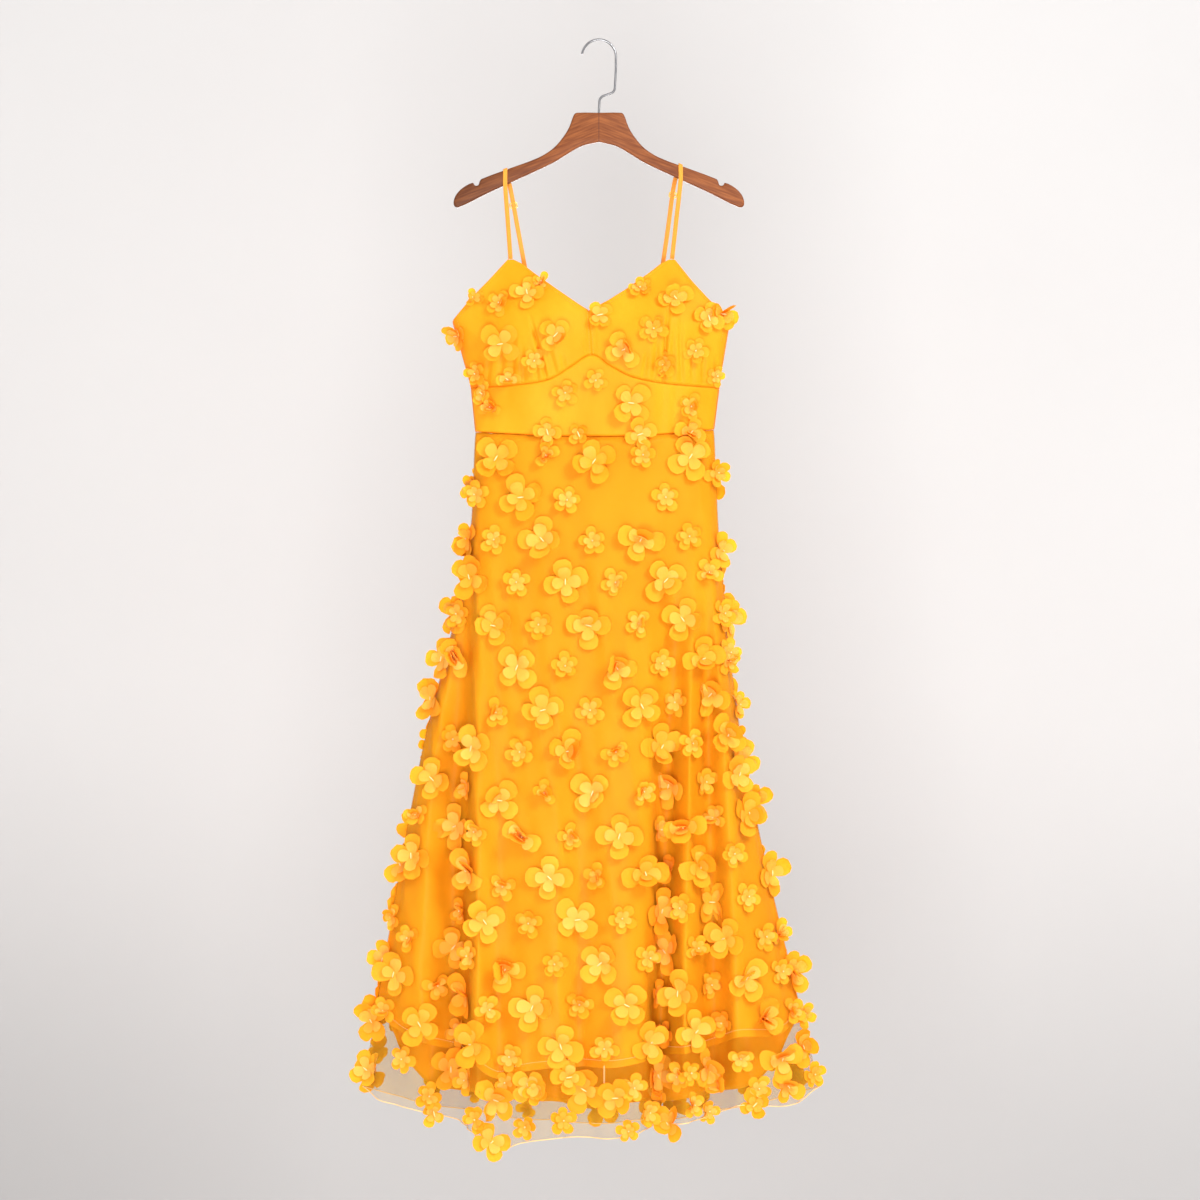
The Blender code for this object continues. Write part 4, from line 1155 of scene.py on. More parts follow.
# %% Where the flowers go
LARGE_RADIUS = 30.0
SMALL_RADIUS = 19.0
LARGE_PETALS = 4
SMALL_PETALS = 5
FLOWER_PITCH = 66.0
FLOWER_ROW_PITCH = 56.0
FLOWER_JITTER = 2.0
FLOWER_MARGIN = 3.5


def flower_places(pattern, seed):
    """Staggered rows of large and small flowers in turn, clear of the edges and of each other."""
    dice = random.Random(seed)
    flowers = []
    length = pattern.v[-1]
    reach = int(max(pattern.rows[0][-1], pattern.rows[-1][-1]) / FLOWER_PITCH) + 1
    for row in range(int(length / FLOWER_ROW_PITCH) + 1):
        for k in range(-reach, reach + 1):
            u = (k + row % 2 / 2) * FLOWER_PITCH + dice.uniform(-FLOWER_JITTER, FLOWER_JITTER)
            v = (row + 0.5) * FLOWER_ROW_PITCH + dice.uniform(-FLOWER_JITTER, FLOWER_JITTER)
            turn = dice.uniform(0, math.tau)
            large = (k + row // 2) % 2 == 0
            radius = LARGE_RADIUS if large else SMALL_RADIUS
            margin = radius + FLOWER_MARGIN
            v = min(max(v, margin), length - margin)
            lines = pattern.lines_at(v)
            if not lines[0] < u < lines[-1] or lines[-1] - lines[0] < 2 * margin:
                continue
            u = min(max(u, lines[0] + margin), lines[-1] - margin)
            ends = [pattern.lines_at(v + way * radius) for way in (-1, 1)]
            inside = all(end[0] + radius / 2 < u < end[-1] - radius / 2 for end in ends)
            clear = all(math.dist((u, v), near[:2]) > radius + near[2] for near in flowers)
            if inside and clear:
                flowers.append((u, v, radius, large, turn))
    return flowers


print("places by rule:", len(flower_places(skirt_front, 15)), "in front,",
      len(flower_places(skirt_back, 16)), "behind")


# %% [markdown]
# The front bodice is small, so its flowers have places of their own. Some lie whole on a panel, as they
# do on the solids. Others are sewn over an edge or a seam, and their petals hang past it. The side folds
# and the hem of the skirt are crowded: in front they have set places too, and behind they are strewn.

# %% Flowers of the bodice and of the edges
# Flowers given one by one on each panel: x, drop, radius, petals, turn in degrees, and for some how far they
# face aside. Those with that last number lie over an edge or a seam, or crowd a fold or the hem.
PANEL_FLOWERS = {
    "cup_left": (
        (-134.0, 359.0, 19.0, 5, 10), (-96.0, 345.0, 22.0, 4, 20), (-58.5, 403.0, 24.0, 4, 60),
        (-131.0, 414.0, 28.0, 4, 45), (-88.0, 436.0, 17.0, 5, 30), (-190.0, 400.0, 22.0, 4, 80, -1.4),
        (-168.0, 350.0, 14.0, 5, 20, 0.0), (-166.0, 452.0, 17.0, 5, 50, -0.4),
        (-78.0, 329.0, 14.0, 5, 35, 0.0), (-122.0, 462.0, 17.0, 4, 10, 0.0),
    ),
    "cup_right": (
        (101.5, 352.0, 24.0, 4, 75), (146.0, 377.0, 22.0, 4, 15), (34.7, 419.0, 26.0, 4, 50),
        (130.0, 421.0, 18.0, 5, 80), (89.0, 441.0, 18.0, 5, 40), (73.0, 394.0, 19.0, 5, 0),
        (2.0, 374.0, 20.0, 4, 40, 0.0), (166.0, 370.0, 24.0, 4, 30, 0.5), (56.0, 338.0, 16.0, 5, 15, 0.0),
        (156.0, 455.0, 15.0, 5, 60, 0.3),
    ),
    "midriff_front": (
        (-146.0, 496.0, 19.0, 5, 25), (-46.0, 477.0, 18.0, 5, 55), (-5.0, 461.0, 16.0, 5, 5),
        (44.5, 492.0, 28.0, 4, 35), (123.0, 496.0, 19.0, 5, 70), (-158.0, 476.0, 17.0, 4, 25, -0.3),
        (-68.0, 532.0, 20.0, 4, 5, 0.0), (-26.0, 533.0, 15.0, 4, 45, 0.0),
        (56.0, 534.0, 22.0, 4, 70, 0.0), (122.0, 531.0, 22.0, 4, 20, 0.0),
    ),
    "skirt_front": (
        (-174.0, 604.0, 19.0, 5, 10, -0.3), (-174.0, 675.0, 24.0, 4, 40, -0.3),
        (-209.0, 774.0, 28.0, 4, 15, -0.3), (-210.0, 839.0, 26.0, 4, 70, -0.2),
        (-235.0, 893.0, 29.0, 4, 5, -0.3), (-266.0, 1117.0, 27.0, 4, 30, -0.3),
        (-282.0, 1190.0, 19.0, 5, 0, -0.2), (-289.0, 1246.0, 26.0, 4, 80, -0.3),
        (-306.0, 1331.0, 28.0, 4, 20, -0.3), (-312.0, 1395.0, 27.0, 4, 50, -0.2),
        (158.0, 587.0, 20.0, 5, 30, 0.3), (163.0, 691.0, 24.0, 4, 0, 0.2),
        (184.0, 785.0, 28.0, 4, 10, 0.3), (174.0, 839.0, 19.0, 5, 65, 0.3),
        (192.0, 899.0, 20.0, 5, 15, 0.3), (192.0, 974.0, 26.0, 4, 35, 0.2),
        (217.0, 1032.0, 28.0, 4, 75, 0.3), (243.0, 1131.0, 29.0, 4, 5, 0.3),
        (247.0, 1213.0, 20.0, 5, 20, 0.2), (261.0, 1262.0, 28.0, 4, 85, 0.3),
        (277.0, 1323.0, 19.0, 5, 40, 0.3), (274.0, 1362.0, 27.0, 4, 10, 0.2),
        (290.0, 1404.0, 19.0, 5, 55, 0.2), (-228.0, 1462.0, 17.0, 4, 25, 0.0),
        (-146.0, 1485.0, 26.0, 4, 60, 0.0), (-100.0, 1463.0, 17.0, 5, 5, 0.0),
        (-92.0, 1412.0, 25.0, 4, 45, 0.0), (-126.0, 1406.0, 16.0, 5, 30, 0.0),
        (-42.0, 1400.0, 24.0, 4, 10, 0.0), (22.0, 1425.0, 27.0, 4, 35, 0.0),
        (42.0, 1471.0, 16.0, 5, 50, 0.0), (81.0, 1428.0, 18.0, 5, 0, 0.0),
        (100.0, 1474.0, 25.0, 4, 45, 0.0), (121.0, 1391.0, 16.0, 5, 25, 0.0),
        (147.0, 1448.0, 17.0, 5, 70, 0.0), (158.0, 1412.0, 25.0, 4, 15, 0.0),
        (212.0, 1441.0, 20.0, 4, 65, 0.0), (256.0, 1414.0, 26.0, 4, 30, 0.0),
    ),
}
# On the back they are strewn: mean step and how uneven it is, where they start and end along the edges,
# how far in they lie, and how far those at the sides face aside
STREWN_PITCH = 80.0
STREWN_STEPS = (0.5, 1.5)
SIDE_START = 60.0
SIDE_END = 20.0
SIDE_DEPTH = (12.0, 34.0)
SIDE_FACING = 0.25
HEM_START = (10.0, 40.0)
HEM_END = 10.0
HEM_REACH = (4.0, 34.0)
# Share of large ones among them, and their radius as a share of the usual one: sides and hem
SIDE_SIZES = (0.55, (0.85, 1.0))
HEM_SIZES = (0.5, (0.75, 0.95))
print("flowers by hand:", sum(len(rows) for rows in PANEL_FLOWERS.values()))


def table_flowers(panel, name):
    """Flat places of the flowers that the table puts on a panel."""
    found = []
    for x, drop, radius, petal_count, turn, *aside in PANEL_FLOWERS[name]:
        away = (panel.points[..., 0] - x) ** 2 + (panel.points[..., 2] + drop) ** 2
        u, v = panel.flat.reshape(-1, 2)[away.argmin()]
        found.append((u, v, radius, petal_count == LARGE_PETALS, math.radians(turn), *aside))
    return found


def random_size(dice, large_share, radii):
    """Whether a flower is large, and its radius."""
    large = dice.random() < large_share
    return large, (LARGE_RADIUS if large else SMALL_RADIUS) * dice.uniform(*radii)


def edge_places(panel, seed):
    """Extra flowers down both side seams and along the hem of a skirt panel."""
    dice = random.Random(seed + 300)
    found = []
    length = panel.v[-1]
    for sign in (-1, 1):
        v = SIDE_START + dice.uniform(0.0, STREWN_PITCH)
        while v < length - SIDE_END:
            large, radius = random_size(dice, *SIDE_SIZES)
            edge = panel.lines_at(v)[-1 if sign > 0 else 0]
            place = edge - sign * dice.uniform(*SIDE_DEPTH)
            found.append((place, v, radius, large, dice.uniform(0, math.tau), sign * SIDE_FACING))
            v += STREWN_PITCH * dice.uniform(*STREWN_STEPS)
    left, right = panel.lines_at(length)[0], panel.lines_at(length)[-1]
    u = left + dice.uniform(*HEM_START)
    while u < right - HEM_END:
        large, radius = random_size(dice, *HEM_SIZES)
        v = length - dice.uniform(*HEM_REACH)
        found.append((u, v, radius, large, dice.uniform(0, math.tau), 0.0))
        u += STREWN_PITCH * dice.uniform(*STREWN_STEPS)
    return found


# %% [markdown]
# A sewn petal is stiff: it stands off the cloth at its own angle, and only where the cloth bulges into
# it does it lie against the cloth. So each copy is placed stiff, and points that would sink into the
# cloth are then pushed out to its surface. Flowers at the side folds lean towards the front, where
# their petals show beyond the outline.

# %% Sew the flowers on
# Layers: share of the flower's radius, width share, height of the middle, lift in degrees, material
LAYERS = (
    (1.08, 0.98, 0.8, 12.0, 0),
    (0.71, 0.96, 2.2, 17.0, 1),
)
# How uneven they are, in degrees of lift: from petal to petal, the least, more in the upper layer
LIFT_SPREAD = 8.0
LEAST_LIFT = -8.0
UPPER_SPREAD = 4.0
# In radians: tilt of a flower, turn of a layer, turn of a petal
TILT_JITTER = 0.12
LAYER_JITTER = 0.12
PETAL_JITTER = 0.14
PETAL_LENGTHS = (0.88, 1.06)
# Petal width for its length, and height of the thread in the middle: large and small flowers
BREADTHS = (0.92, 0.80)
THREAD_HEIGHTS = (6.2, 5.6)
KNOT_RADIUS = 1.3
PETAL_CREASE_ANGLE = math.radians(50)
# Tones: range of the flowers, change from petal to petal, painted shade near the middle rising to a painted
# sheen at the tip, and the share of the length where that is even
FLOWER_TONES = (0.15, 0.75)
TONE_JITTER = 0.15
TIP_SHEEN_BASE_SHADE = 0.25
SHEEN_SHADE_EVEN_AT = 0.3
# Share of petals that stand up, and their lift. None do where the cloth is at its fullest
STANDING_SHARE = 0.11
STANDING_LIFT = (35.0, 62.0)
STANDING_REACH = 72.0
# How far flowers lean to the front or the back where the cloth faces sideways
SIDE_LEAN = {FRONT: 1.6, BACK: 0.2}
# How far petals stay off the cloth, and the upper layer above the lower one
CLOTH_CLEAR = 0.7
LAYER_CLEAR = 1.3


def turned(points, x_axis, y_axis, z_axis):
    return points[:, :1] * x_axis + points[:, 1:2] * y_axis + points[:, 2:] * z_axis


def unit(vector):
    return vector / np.linalg.norm(vector)


def pushed_out(panel, points, centre, flat, across, down, clear):
    """The points of a petal's two sides, moved outwards together where they would sink into the cloth."""
    away = points - centre
    j, i, inside = panel.cells(flat[0] + away @ across, flat[1] + away @ down)
    surface, normal, _, _ = panel.at(j, i)
    height = ((points - surface) * normal).sum(axis=1)
    push = np.where(inside, np.maximum(0.0, clear - height), 0.0)
    push = np.tile(push.reshape(2, -1).max(axis=0), 2)
    return points + normal * push[:, None]


def sew_flowers(name, panel, seed, places):
    dice = random.Random(seed + 700)
    points, faces, materials, tones = [], [], [], []
    count = 0

    def add(made, loops, material, tone):
        nonlocal count
        points.append(made)
        faces.extend(tuple(v + count for v in loop) for loop in loops)
        materials.extend([material] * len(loops))
        tones.append(tone)
        count += len(made)

    for u, v, radius, large, turn, *aside in places:
        j, i, _ = panel.cells(np.array([u]), np.array([v]))
        centre, normal, across, down = [field[0] for field in panel.at(j, i)]
        lean = np.array((0.0, panel.side, 0.0)) * SIDE_LEAN[panel.side] * abs(normal[0])
        lean += (sum(aside), 0.0, 0.0)
        up = unit(normal + lean + np.array([dice.uniform(-TILT_JITTER, TILT_JITTER) for _ in range(3)]))
        flower_tone = dice.uniform(*FLOWER_TONES)
        petal_count = LARGE_PETALS if large else SMALL_PETALS
        lifts = [max(LEAST_LIFT, dice.gauss(0.0, LIFT_SPREAD)) for _ in range(petal_count)]
        for k in range(petal_count):
            if dice.random() < STANDING_SHARE and abs(centre[1]) < STANDING_REACH:
                lifts[k] = dice.uniform(*STANDING_LIFT)
        for share, wide, height, lift, material in LAYERS:
            shift = dice.uniform(-LAYER_JITTER, LAYER_JITTER)
            for k in range(petal_count):
                angle = turn + shift + math.tau * k / petal_count + dice.uniform(-PETAL_JITTER, PETAL_JITTER)
                heading = across * math.cos(angle) + down * math.sin(angle)
                heading = unit(heading - up * (heading @ up))
                bend = math.radians(lift + lifts[k] + material * abs(dice.gauss(0.0, UPPER_SPREAD)))
                out = heading * math.cos(bend) + up * math.sin(bend)
                rise = up * math.cos(bend) - heading * math.sin(bend)
                sideways = np.cross(heading, up)
                length = radius * share * dice.uniform(*PETAL_LENGTHS)
                breadth = length * wide * BREADTHS[0 if large else 1]
                shape, loops = petals[dice.randrange(len(petals))]
                made = centre + normal * height
                made = made + turned(shape, sideways * breadth, out * length, rise * length)
                clear = CLOTH_CLEAR + LAYER_CLEAR * material
                made = pushed_out(panel, made, centre, (u, v), across, down, clear)
                tone = flower_tone + dice.uniform(-TONE_JITTER, TONE_JITTER)
                # Painted shade near the stitched middle and painted sheen towards the tip
                tone = tone + TIP_SHEEN_BASE_SHADE * (np.clip(shape[:, 1], 0.0, 1.0) - SHEEN_SHADE_EVEN_AT)
                add(made, loops, material, np.clip(tone, 0.0, 1.0))
        spin = dice.uniform(0, math.pi)
        lengthwise = unit(across * math.cos(spin) + down * math.sin(spin))
        crosswise = np.cross(lengthwise, normal)
        middle = centre + normal * THREAD_HEIGHTS[0 if large else 1]
        if large:
            made, loops = middle + turned(bar_points, crosswise, normal, lengthwise), bar_faces
        else:
            made, loops = middle + knot_points * KNOT_RADIUS, knot_faces
        add(made, loops, 2, np.ones(len(made)))
    piece = make_piece(name, np.concatenate(points), faces, [organza, petal_satin, thread], "flowered_mesh")
    piece.data.polygons.foreach_set("material_index", materials)
    layer = piece.data.attributes.new("tone", "FLOAT", "POINT")
    layer.data.foreach_set("value", np.concatenate(tones).astype(np.float32))
    make_active(piece)
    bpy.ops.object.shade_smooth_by_angle(angle=PETAL_CREASE_ANGLE)
    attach(piece, "root")
    print(name, "flowers:", len(places), "faces:", len(faces))
    return piece


flowers_front = sew_flowers("flowers_skirt_front", skirt_front, 15,
                            flower_places(skirt_front, 15) + table_flowers(skirt_front, "skirt_front"))
flowers_back = sew_flowers("flowers_skirt_back", skirt_back, 16,
                           flower_places(skirt_back, 16) + edge_places(skirt_back, 16))
flowers_cup_left = sew_flowers("flowers_cup_left", cup_left, 11, table_flowers(cup_left, "cup_left"))
flowers_cup_right = sew_flowers("flowers_cup_right", cup_right, 12, table_flowers(cup_right, "cup_right"))
flowers_midriff = sew_flowers("flowers_midriff", midriff, 13, table_flowers(midriff, "midriff_front"))
flowers_bodice_back = sew_flowers("flowers_bodice_back", back, 14, flower_places(back, 14))


# %% [markdown]
# ## Edges and stitches
# The net's hem is finished by a pale overlocked thread, a thin tube along its lower edge. Stitches are
# short rounded threads: the thread bar of the flowers is used again, and its copies follow a line.

# %% Threads and stitches
def drawn(name, points, cyclic=False, **settings):
    """A curve through points in millimetres, with these settings, made into a mesh."""
    curve = bpy.data.curves.new(name, "CURVE")
    for key, value in settings.items():
        setattr(curve, key, value)
    line = curve.splines.new("POLY")
    line.points.add(len(points) - 1)
    for spot, place in zip(line.points, points):
        spot.co = (*(np.asarray(place) * MM), 1.0)
    line.use_cyclic_u = cyclic
    obj = bpy.data.objects.new(name, curve)
    bpy.context.scene.collection.objects.link(obj)
    make_active(obj)
    bpy.ops.object.convert(target="MESH")
    return bpy.context.object


def tube(name, points, radius, material, slot, closed_ends=True):
    """A round thread along points in millimetres."""
    obj = drawn(name, points, dimensions="3D", bevel_depth=radius * MM, bevel_resolution=1,
                use_fill_caps=closed_ends)
    obj.data.materials.append(material)
    obj.data.shade_smooth()
    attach(obj, "root")
    return obj


# Radius, finish and slot of the hem's thread
HEM_THREAD_FINISH = (0.7, thread, "flowered_mesh")
hem_thread_front = tube("hem_thread_front", skirt_front.points[-1], *HEM_THREAD_FINISH)
hem_thread_back = tube("hem_thread_back", skirt_back.points[-1], *HEM_THREAD_FINISH)
print("hem threads:", len(hem_thread_front.data.polygons), "faces in front")

STITCH_LENGTH = 2.4
STITCH_PITCH = 3.4
STITCH_RADIUS = 0.35
# Height over the cloth, and how far ahead along the line a stitch is aimed
STITCH_HEIGHT = 0.15
STITCH_AIM = 0.5


def stitched_line(panel, corners):
    """Stitches along corners (row, column) of a panel: place, heading and outward direction of each."""
    corners = np.array(corners, float)
    lengths = np.linalg.norm(np.diff(panel.at(corners[:, 0], corners[:, 1])[0], axis=0), axis=1)
    stops = np.concatenate(([0.0], np.cumsum(lengths)))
    places = np.arange(STITCH_PITCH / 2, stops[-1], STITCH_PITCH)
    j = np.interp(places, stops, corners[:, 0])
    i = np.interp(places, stops, corners[:, 1])
    ahead = [np.interp(places + STITCH_AIM, stops, corners[:, c]) for c in (0, 1)]
    spots, normals, _, _ = panel.at(j, i)
    later = panel.at(*ahead)[0]
    return [(a, unit(b - a), n) for a, b, n in zip(spots, later, normals) if np.linalg.norm(b - a) > 0]


def make_stitches(name, lines, material, slot):
    points, faces = [], []
    shape = bar_points * (STITCH_RADIUS, STITCH_RADIUS, STITCH_LENGTH / 2 / BAR_STRETCH)
    for line in lines:
        for spot, heading, normal in line:
            start = len(points) * len(shape)
            sideways = np.cross(heading, normal)
            points.append(spot + normal * STITCH_HEIGHT + turned(shape, sideways, normal, heading))
            faces += [tuple(v + start for v in loop) for loop in bar_faces]
    piece = make_piece(name, np.concatenate(points), faces, [material], slot)
    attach(piece, "root")
    print(name, "stitches:", sum(len(line) for line in lines))
    return piece


# %% Sew the edges
# Down the cups: panel, column, first and last row. Along the armholes and the neck, then the centre seam
CUP_STITCHES = (
    (cup_left, 0.35, 0.3, CUP_LAST - 2.0),
    (cup_left, CUP_COLUMNS - 0.35, 0.3, CUP_LAST - 2.6),
    (cup_right, 0.35, 0.3, CUP_LAST - 2.6),
    (cup_right, CUP_COLUMNS - 0.35, 0.3, CUP_LAST - 2.0),
    (cup_left, CUP_COLUMNS - 0.12, CUP_LAST - 2.4, CUP_LAST),
    (cup_right, 0.12, CUP_LAST - 2.4, CUP_LAST),
)
bodice_lines = [
    stitched_line(panel, [(j, column) for j in np.linspace(first, last, 60)])
    for panel, column, first, last in CUP_STITCHES
]
bodice_lines.append(stitched_line(back, [(0.2, i) for i in np.linspace(0.2, BACK_COLUMNS - 0.2, 200)]))
bodice_thread = mottled("bodice_thread", 0.55, (0.70, 0.22, 0.006), (0.85, 0.34, 0.02), THREAD_TWIST, 2.0)
bodice_stitches = make_stitches("bodice_stitches", bodice_lines, bodice_thread, "flowered_mesh")

# %% Sew the lining's hem
hem_columns = np.linspace(0.3, len(FRONT_FOLDS) - 1.3, 300)
hem_rows = np.interp(hem_columns * SKIRT_FINE[1], range(skirt_front.points.shape[1]),
                     lining_end(skirt_front, 0.0))
lining_line = stitched_line(skirt_front, list(zip(hem_rows - HEM_FOLD_ROWS / SKIRT_FINE[0], hem_columns)))
lining_stitches = make_stitches("lining_stitches", [lining_line], thread, "satin_lining")

# %% The thread chain between the lining and the net
CHAIN_X = 7.5
CHAIN_LENGTH = 26.0
CHAIN_WIDTH = 0.8
CHAIN_TURNS = 9
CHAIN_STEPS = 8
# Where its middle line starts, seen from the lining's edge: y and height
CHAIN_START = (-1.0, 3.0)
CHAIN_THREAD = 0.5
lining_row = lining_panel_front.points[-1]
chain_top = lining_row[np.abs(lining_row[:, 0] - CHAIN_X).argmin()]
chain_points = []
for k in range(CHAIN_TURNS * CHAIN_STEPS + 1):
    run = k / (CHAIN_TURNS * CHAIN_STEPS)
    angle = math.tau * k / CHAIN_STEPS
    swing = (math.cos(angle) * CHAIN_WIDTH, CHAIN_START[0] + math.sin(angle) * CHAIN_WIDTH,
             CHAIN_START[1] - CHAIN_LENGTH * run)
    chain_points.append(chain_top + swing)
hem_chain = tube("hem_chain", chain_points, CHAIN_THREAD, thread, "satin_lining")
print("chain hangs from", chain_top.round(1))


# %% [markdown]
# ## The straps
# Each strap is a narrow satin tube pressed flat. It leaves the point of a cup, goes over the hanger,
# and comes down behind to the back's edge. Its path is the solids' own, smoothed, with a rounded
# section drawn along it.

# %% Strap sizes
HANGER_THICKNESS = 13.0
HANGER_SLOPE = math.radians(20.5)
# Straps: x and drop at the cup's tip, x and drop on the bar, x where it falls, x at the back edge
STRAPS = (
    ("left", -119.6, 296.6, -126.9, 173.6, -121.0, -85.5),
    ("right", 99.0, 296.6, 110.7, 167.4, 103.0, 74.8),
)
STRAP_WIDTH = 6.0
STRAP_THICKNESS = 1.3
STRAP_CLEAR = 1.3
STRAP_BEND = 4.0
STRAP_BEND_STEPS = 8
# How far below the bar's top a strap leaves it, and how long it stays banked to the bar's slope
STRAP_LEAVES_BAR = 22.0
STRAP_FALL_STEPS = 3
BANK_LENGTH = 22.0
BODICE_WALL = 2.2
print("straps:", STRAP_WIDTH, "mm wide,", STRAP_THICKNESS, "mm thick")


def strap_path(x_front, drop_front, x_top, drop_top, x_fall, x_back):
    """Middle line of a strap from the cup's tip over the bar to the back edge."""
    reach = HANGER_THICKNESS / 2 + STRAP_CLEAR
    start = np.array(body_at(FRONT, x_front, drop_front)) + (0.0, BODICE_WALL / 2, 0.0)
    end = np.array(body_at(BACK, x_back, back_edge(x_back) - SEAM_GAP)) - (0.0, BODICE_WALL / 2, 0.0)
    leaves = -drop_top - STRAP_LEAVES_BAR
    rise_end = np.array((x_top, -reach, leaves))
    path = [start, mix(start, rise_end, 0.5), rise_end]
    for k in range(STRAP_BEND_STEPS + 1):
        angle = math.pi * (1 - k / STRAP_BEND_STEPS)
        side_y = (reach - STRAP_BEND) * (1 if angle < math.pi / 2 else -1)
        y = (0.0 if 2 * k == STRAP_BEND_STEPS else side_y) + STRAP_BEND * math.cos(angle)
        path.append(np.array((x_top, y, -drop_top - STRAP_BEND + STRAP_BEND * math.sin(angle))))
    fall_start = np.array((x_fall, reach, leaves))
    path += [mix(fall_start, end, k / STRAP_FALL_STEPS) for k in range(STRAP_FALL_STEPS + 1)]
    return path


# %% Make the straps
STRAP_SIDES = 12
# How square the section is, across and through
STRAP_SQUARENESS = (0.6, 0.7)
STRAP_SMOOTHING = 5
strap_cloth = woven_cloth("strap_satin_cloth", (0.66, 0.240, 0.025), (0.72, 0.305, 0.050), 0.4, 900.0, 0.2)


def squared(angle, across, through):
    """A place on a circle that is pressed towards a square."""
    c, s = math.cos(angle), math.sin(angle)
    return math.copysign(abs(c) ** across, c), math.copysign(abs(s) ** through, s)


def make_strap(side, sizes):
    path = smooth_line(strap_path(*sizes), STRAP_SMOOTHING)
    drop_top = sizes[3]
    bank_sign = 1 if side == "left" else -1
    heads = np.gradient(path, axis=0)
    points, flat = [], []
    run = np.concatenate(([0.0], np.cumsum(np.linalg.norm(np.diff(path, axis=0), axis=1))))
    for place, head, length in zip(path, heads, run):
        away = abs(place[2] + drop_top) / BANK_LENGTH
        bank = bank_sign * HANGER_SLOPE * math.exp(-(away**2))
        wide = np.array((math.cos(bank), 0.0, math.sin(bank)))
        head = unit(head)
        wide = unit(wide - head * (wide @ head))
        thick = np.cross(head, wide)
        for k in range(STRAP_SIDES):
            c, s = squared(math.tau * k / STRAP_SIDES, *STRAP_SQUARENESS)
            points.append(place + wide * (c * STRAP_WIDTH / 2) + thick * (s * STRAP_THICKNESS / 2))
            flat.append((k / STRAP_SIDES * 2 * STRAP_WIDTH, length))
    faces = []
    for r in range(len(path) - 1):
        for k in range(STRAP_SIDES):
            n = (k + 1) % STRAP_SIDES
            a, b = r * STRAP_SIDES, (r + 1) * STRAP_SIDES
            faces.append((a + k, a + n, b + n, b + k))
    faces.append(tuple(reversed(range(STRAP_SIDES))))
    faces.append(tuple((len(path) - 1) * STRAP_SIDES + k for k in range(STRAP_SIDES)))
    strap = make_piece("strap_ribbon_" + side, points, faces, [strap_cloth], "strap_satin")
    write_flat(strap, flat, faces)
    edit_all(strap, lambda: bpy.ops.mesh.normals_make_consistent(inside=False))
    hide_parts("strap_" + side)
    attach(strap, "root")
    print(strap.name, "length", round(float(run[-1])), "mm")
    return strap


for side, *sizes in STRAPS:
    make_strap(side, sizes)


# %% [markdown]
# ## Sliders and rings
# A slider and a ring on each strap let it be made longer or shorter. They are bent wire, dyed to the
# cloth's colour: a round tube follows a squared circle, and the slider has a bar across it.

# %% Model the loops
steel, steel_tree, steel_shader = new_material("brushed_wire", 0.28, metallic=1.0)
streaks = noise(steel_tree, object_place(steel_tree, (1.0, 1.0, 0.15)), 900.0)
steel_tree.links.new(blend_colours(steel_tree, streaks, (0.20, 0.20, 0.21), (0.36, 0.36, 0.37)),
                     steel_shader.inputs["Base Color"])
bump_from(steel_tree, steel_shader, streaks, 0.08, 0.0002)
dyed = mottled("dyed_wire", 0.3, (0.72, 0.40, 0.04), (0.90, 0.58, 0.12), 700.0, metallic=0.3)

LOOP_WIRE = 0.85
LOOP_WIDTH = 9.6
SLIDER_HEIGHT = 7.0
RING_HEIGHT = 4.0
LOOP_STEPS = 28
LOOP_SQUARENESS = 0.45
# Drops of the loops on the falls behind the bar
SLIDER_DROPS = {"left": 222.3, "right": 208.2}
RING_DROP = 350.0
# How far behind the strap the slider's bar lies, at its ends and in its middle
BAR_BEHIND = (0.9, 1.6)


def strap_spot(sizes, drop):
    """Point and direction of a strap's fall behind the bar at a drop."""
    path = strap_path(*sizes)
    top, end = path[-STRAP_FALL_STEPS - 1], path[-1]
    fall = end - top
    return top - fall * (top[2] + drop) / fall[2], unit(fall)


def make_loop(name, sizes, drop, height, node, with_bar):
    """A squared loop of wire: flat against the strap with a bar across it, or standing round the strap."""
    place, fall = strap_spot(sizes, drop)
    wide = unit(np.array((1.0, 0.0, 0.0)) - fall * fall[0])
    out = np.cross(fall, wide)
    upright = fall if with_bar else out
    ring = []
    for k in range(LOOP_STEPS):
        c, s = squared(math.tau * k / LOOP_STEPS, LOOP_SQUARENESS, LOOP_SQUARENESS)
        ring.append(place + (wide * (c * LOOP_WIDTH / 2) + upright * (s * height / 2)))
    loop = tube(name, ring + ring[:1], LOOP_WIRE, dyed, "steel_wire", False)
    if with_bar:
        half = wide * LOOP_WIDTH / 2
        near, far = (out * depth for depth in BAR_BEHIND)
        ends = [place - half - near, place - far, place + half - near]
        bar = tube(name + "_bar", smooth_line(ends, 4), LOOP_WIRE * 0.9, dyed, "steel_wire")
        make_active(loop)
        bar.select_set(True)
        bpy.ops.object.join()
    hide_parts(node)
    print(name, "faces:", len(loop.data.polygons))


for side, *sizes in STRAPS:
    make_loop("slider_wire_" + side, sizes, SLIDER_DROPS[side], SLIDER_HEIGHT, "slider_" + side, True)
    make_loop("ring_wire_" + side, sizes, RING_DROP, RING_HEIGHT, "ring_" + side, False)


# %% [markdown]
# ## The hanger
# The bar is two pieces of stained wood glued at the middle. A smooth outline is filled and given depth
# and rounded edges as a curve, then made a mesh. The grain follows each arm down its slope, and the
# glue line shows as a fine dark seam.

# %% Hanger outline
# Half outline of the bar from its middle along the top: x, drop
HANGER_TOP = ((0.0, 97.7), (30.0, 97.7), (34.0, 100.5), (40.0, 116.5), (48.0, 130.0), (62.0, 146.0),
              (82.0, 158.5), (119.0, 172.4))
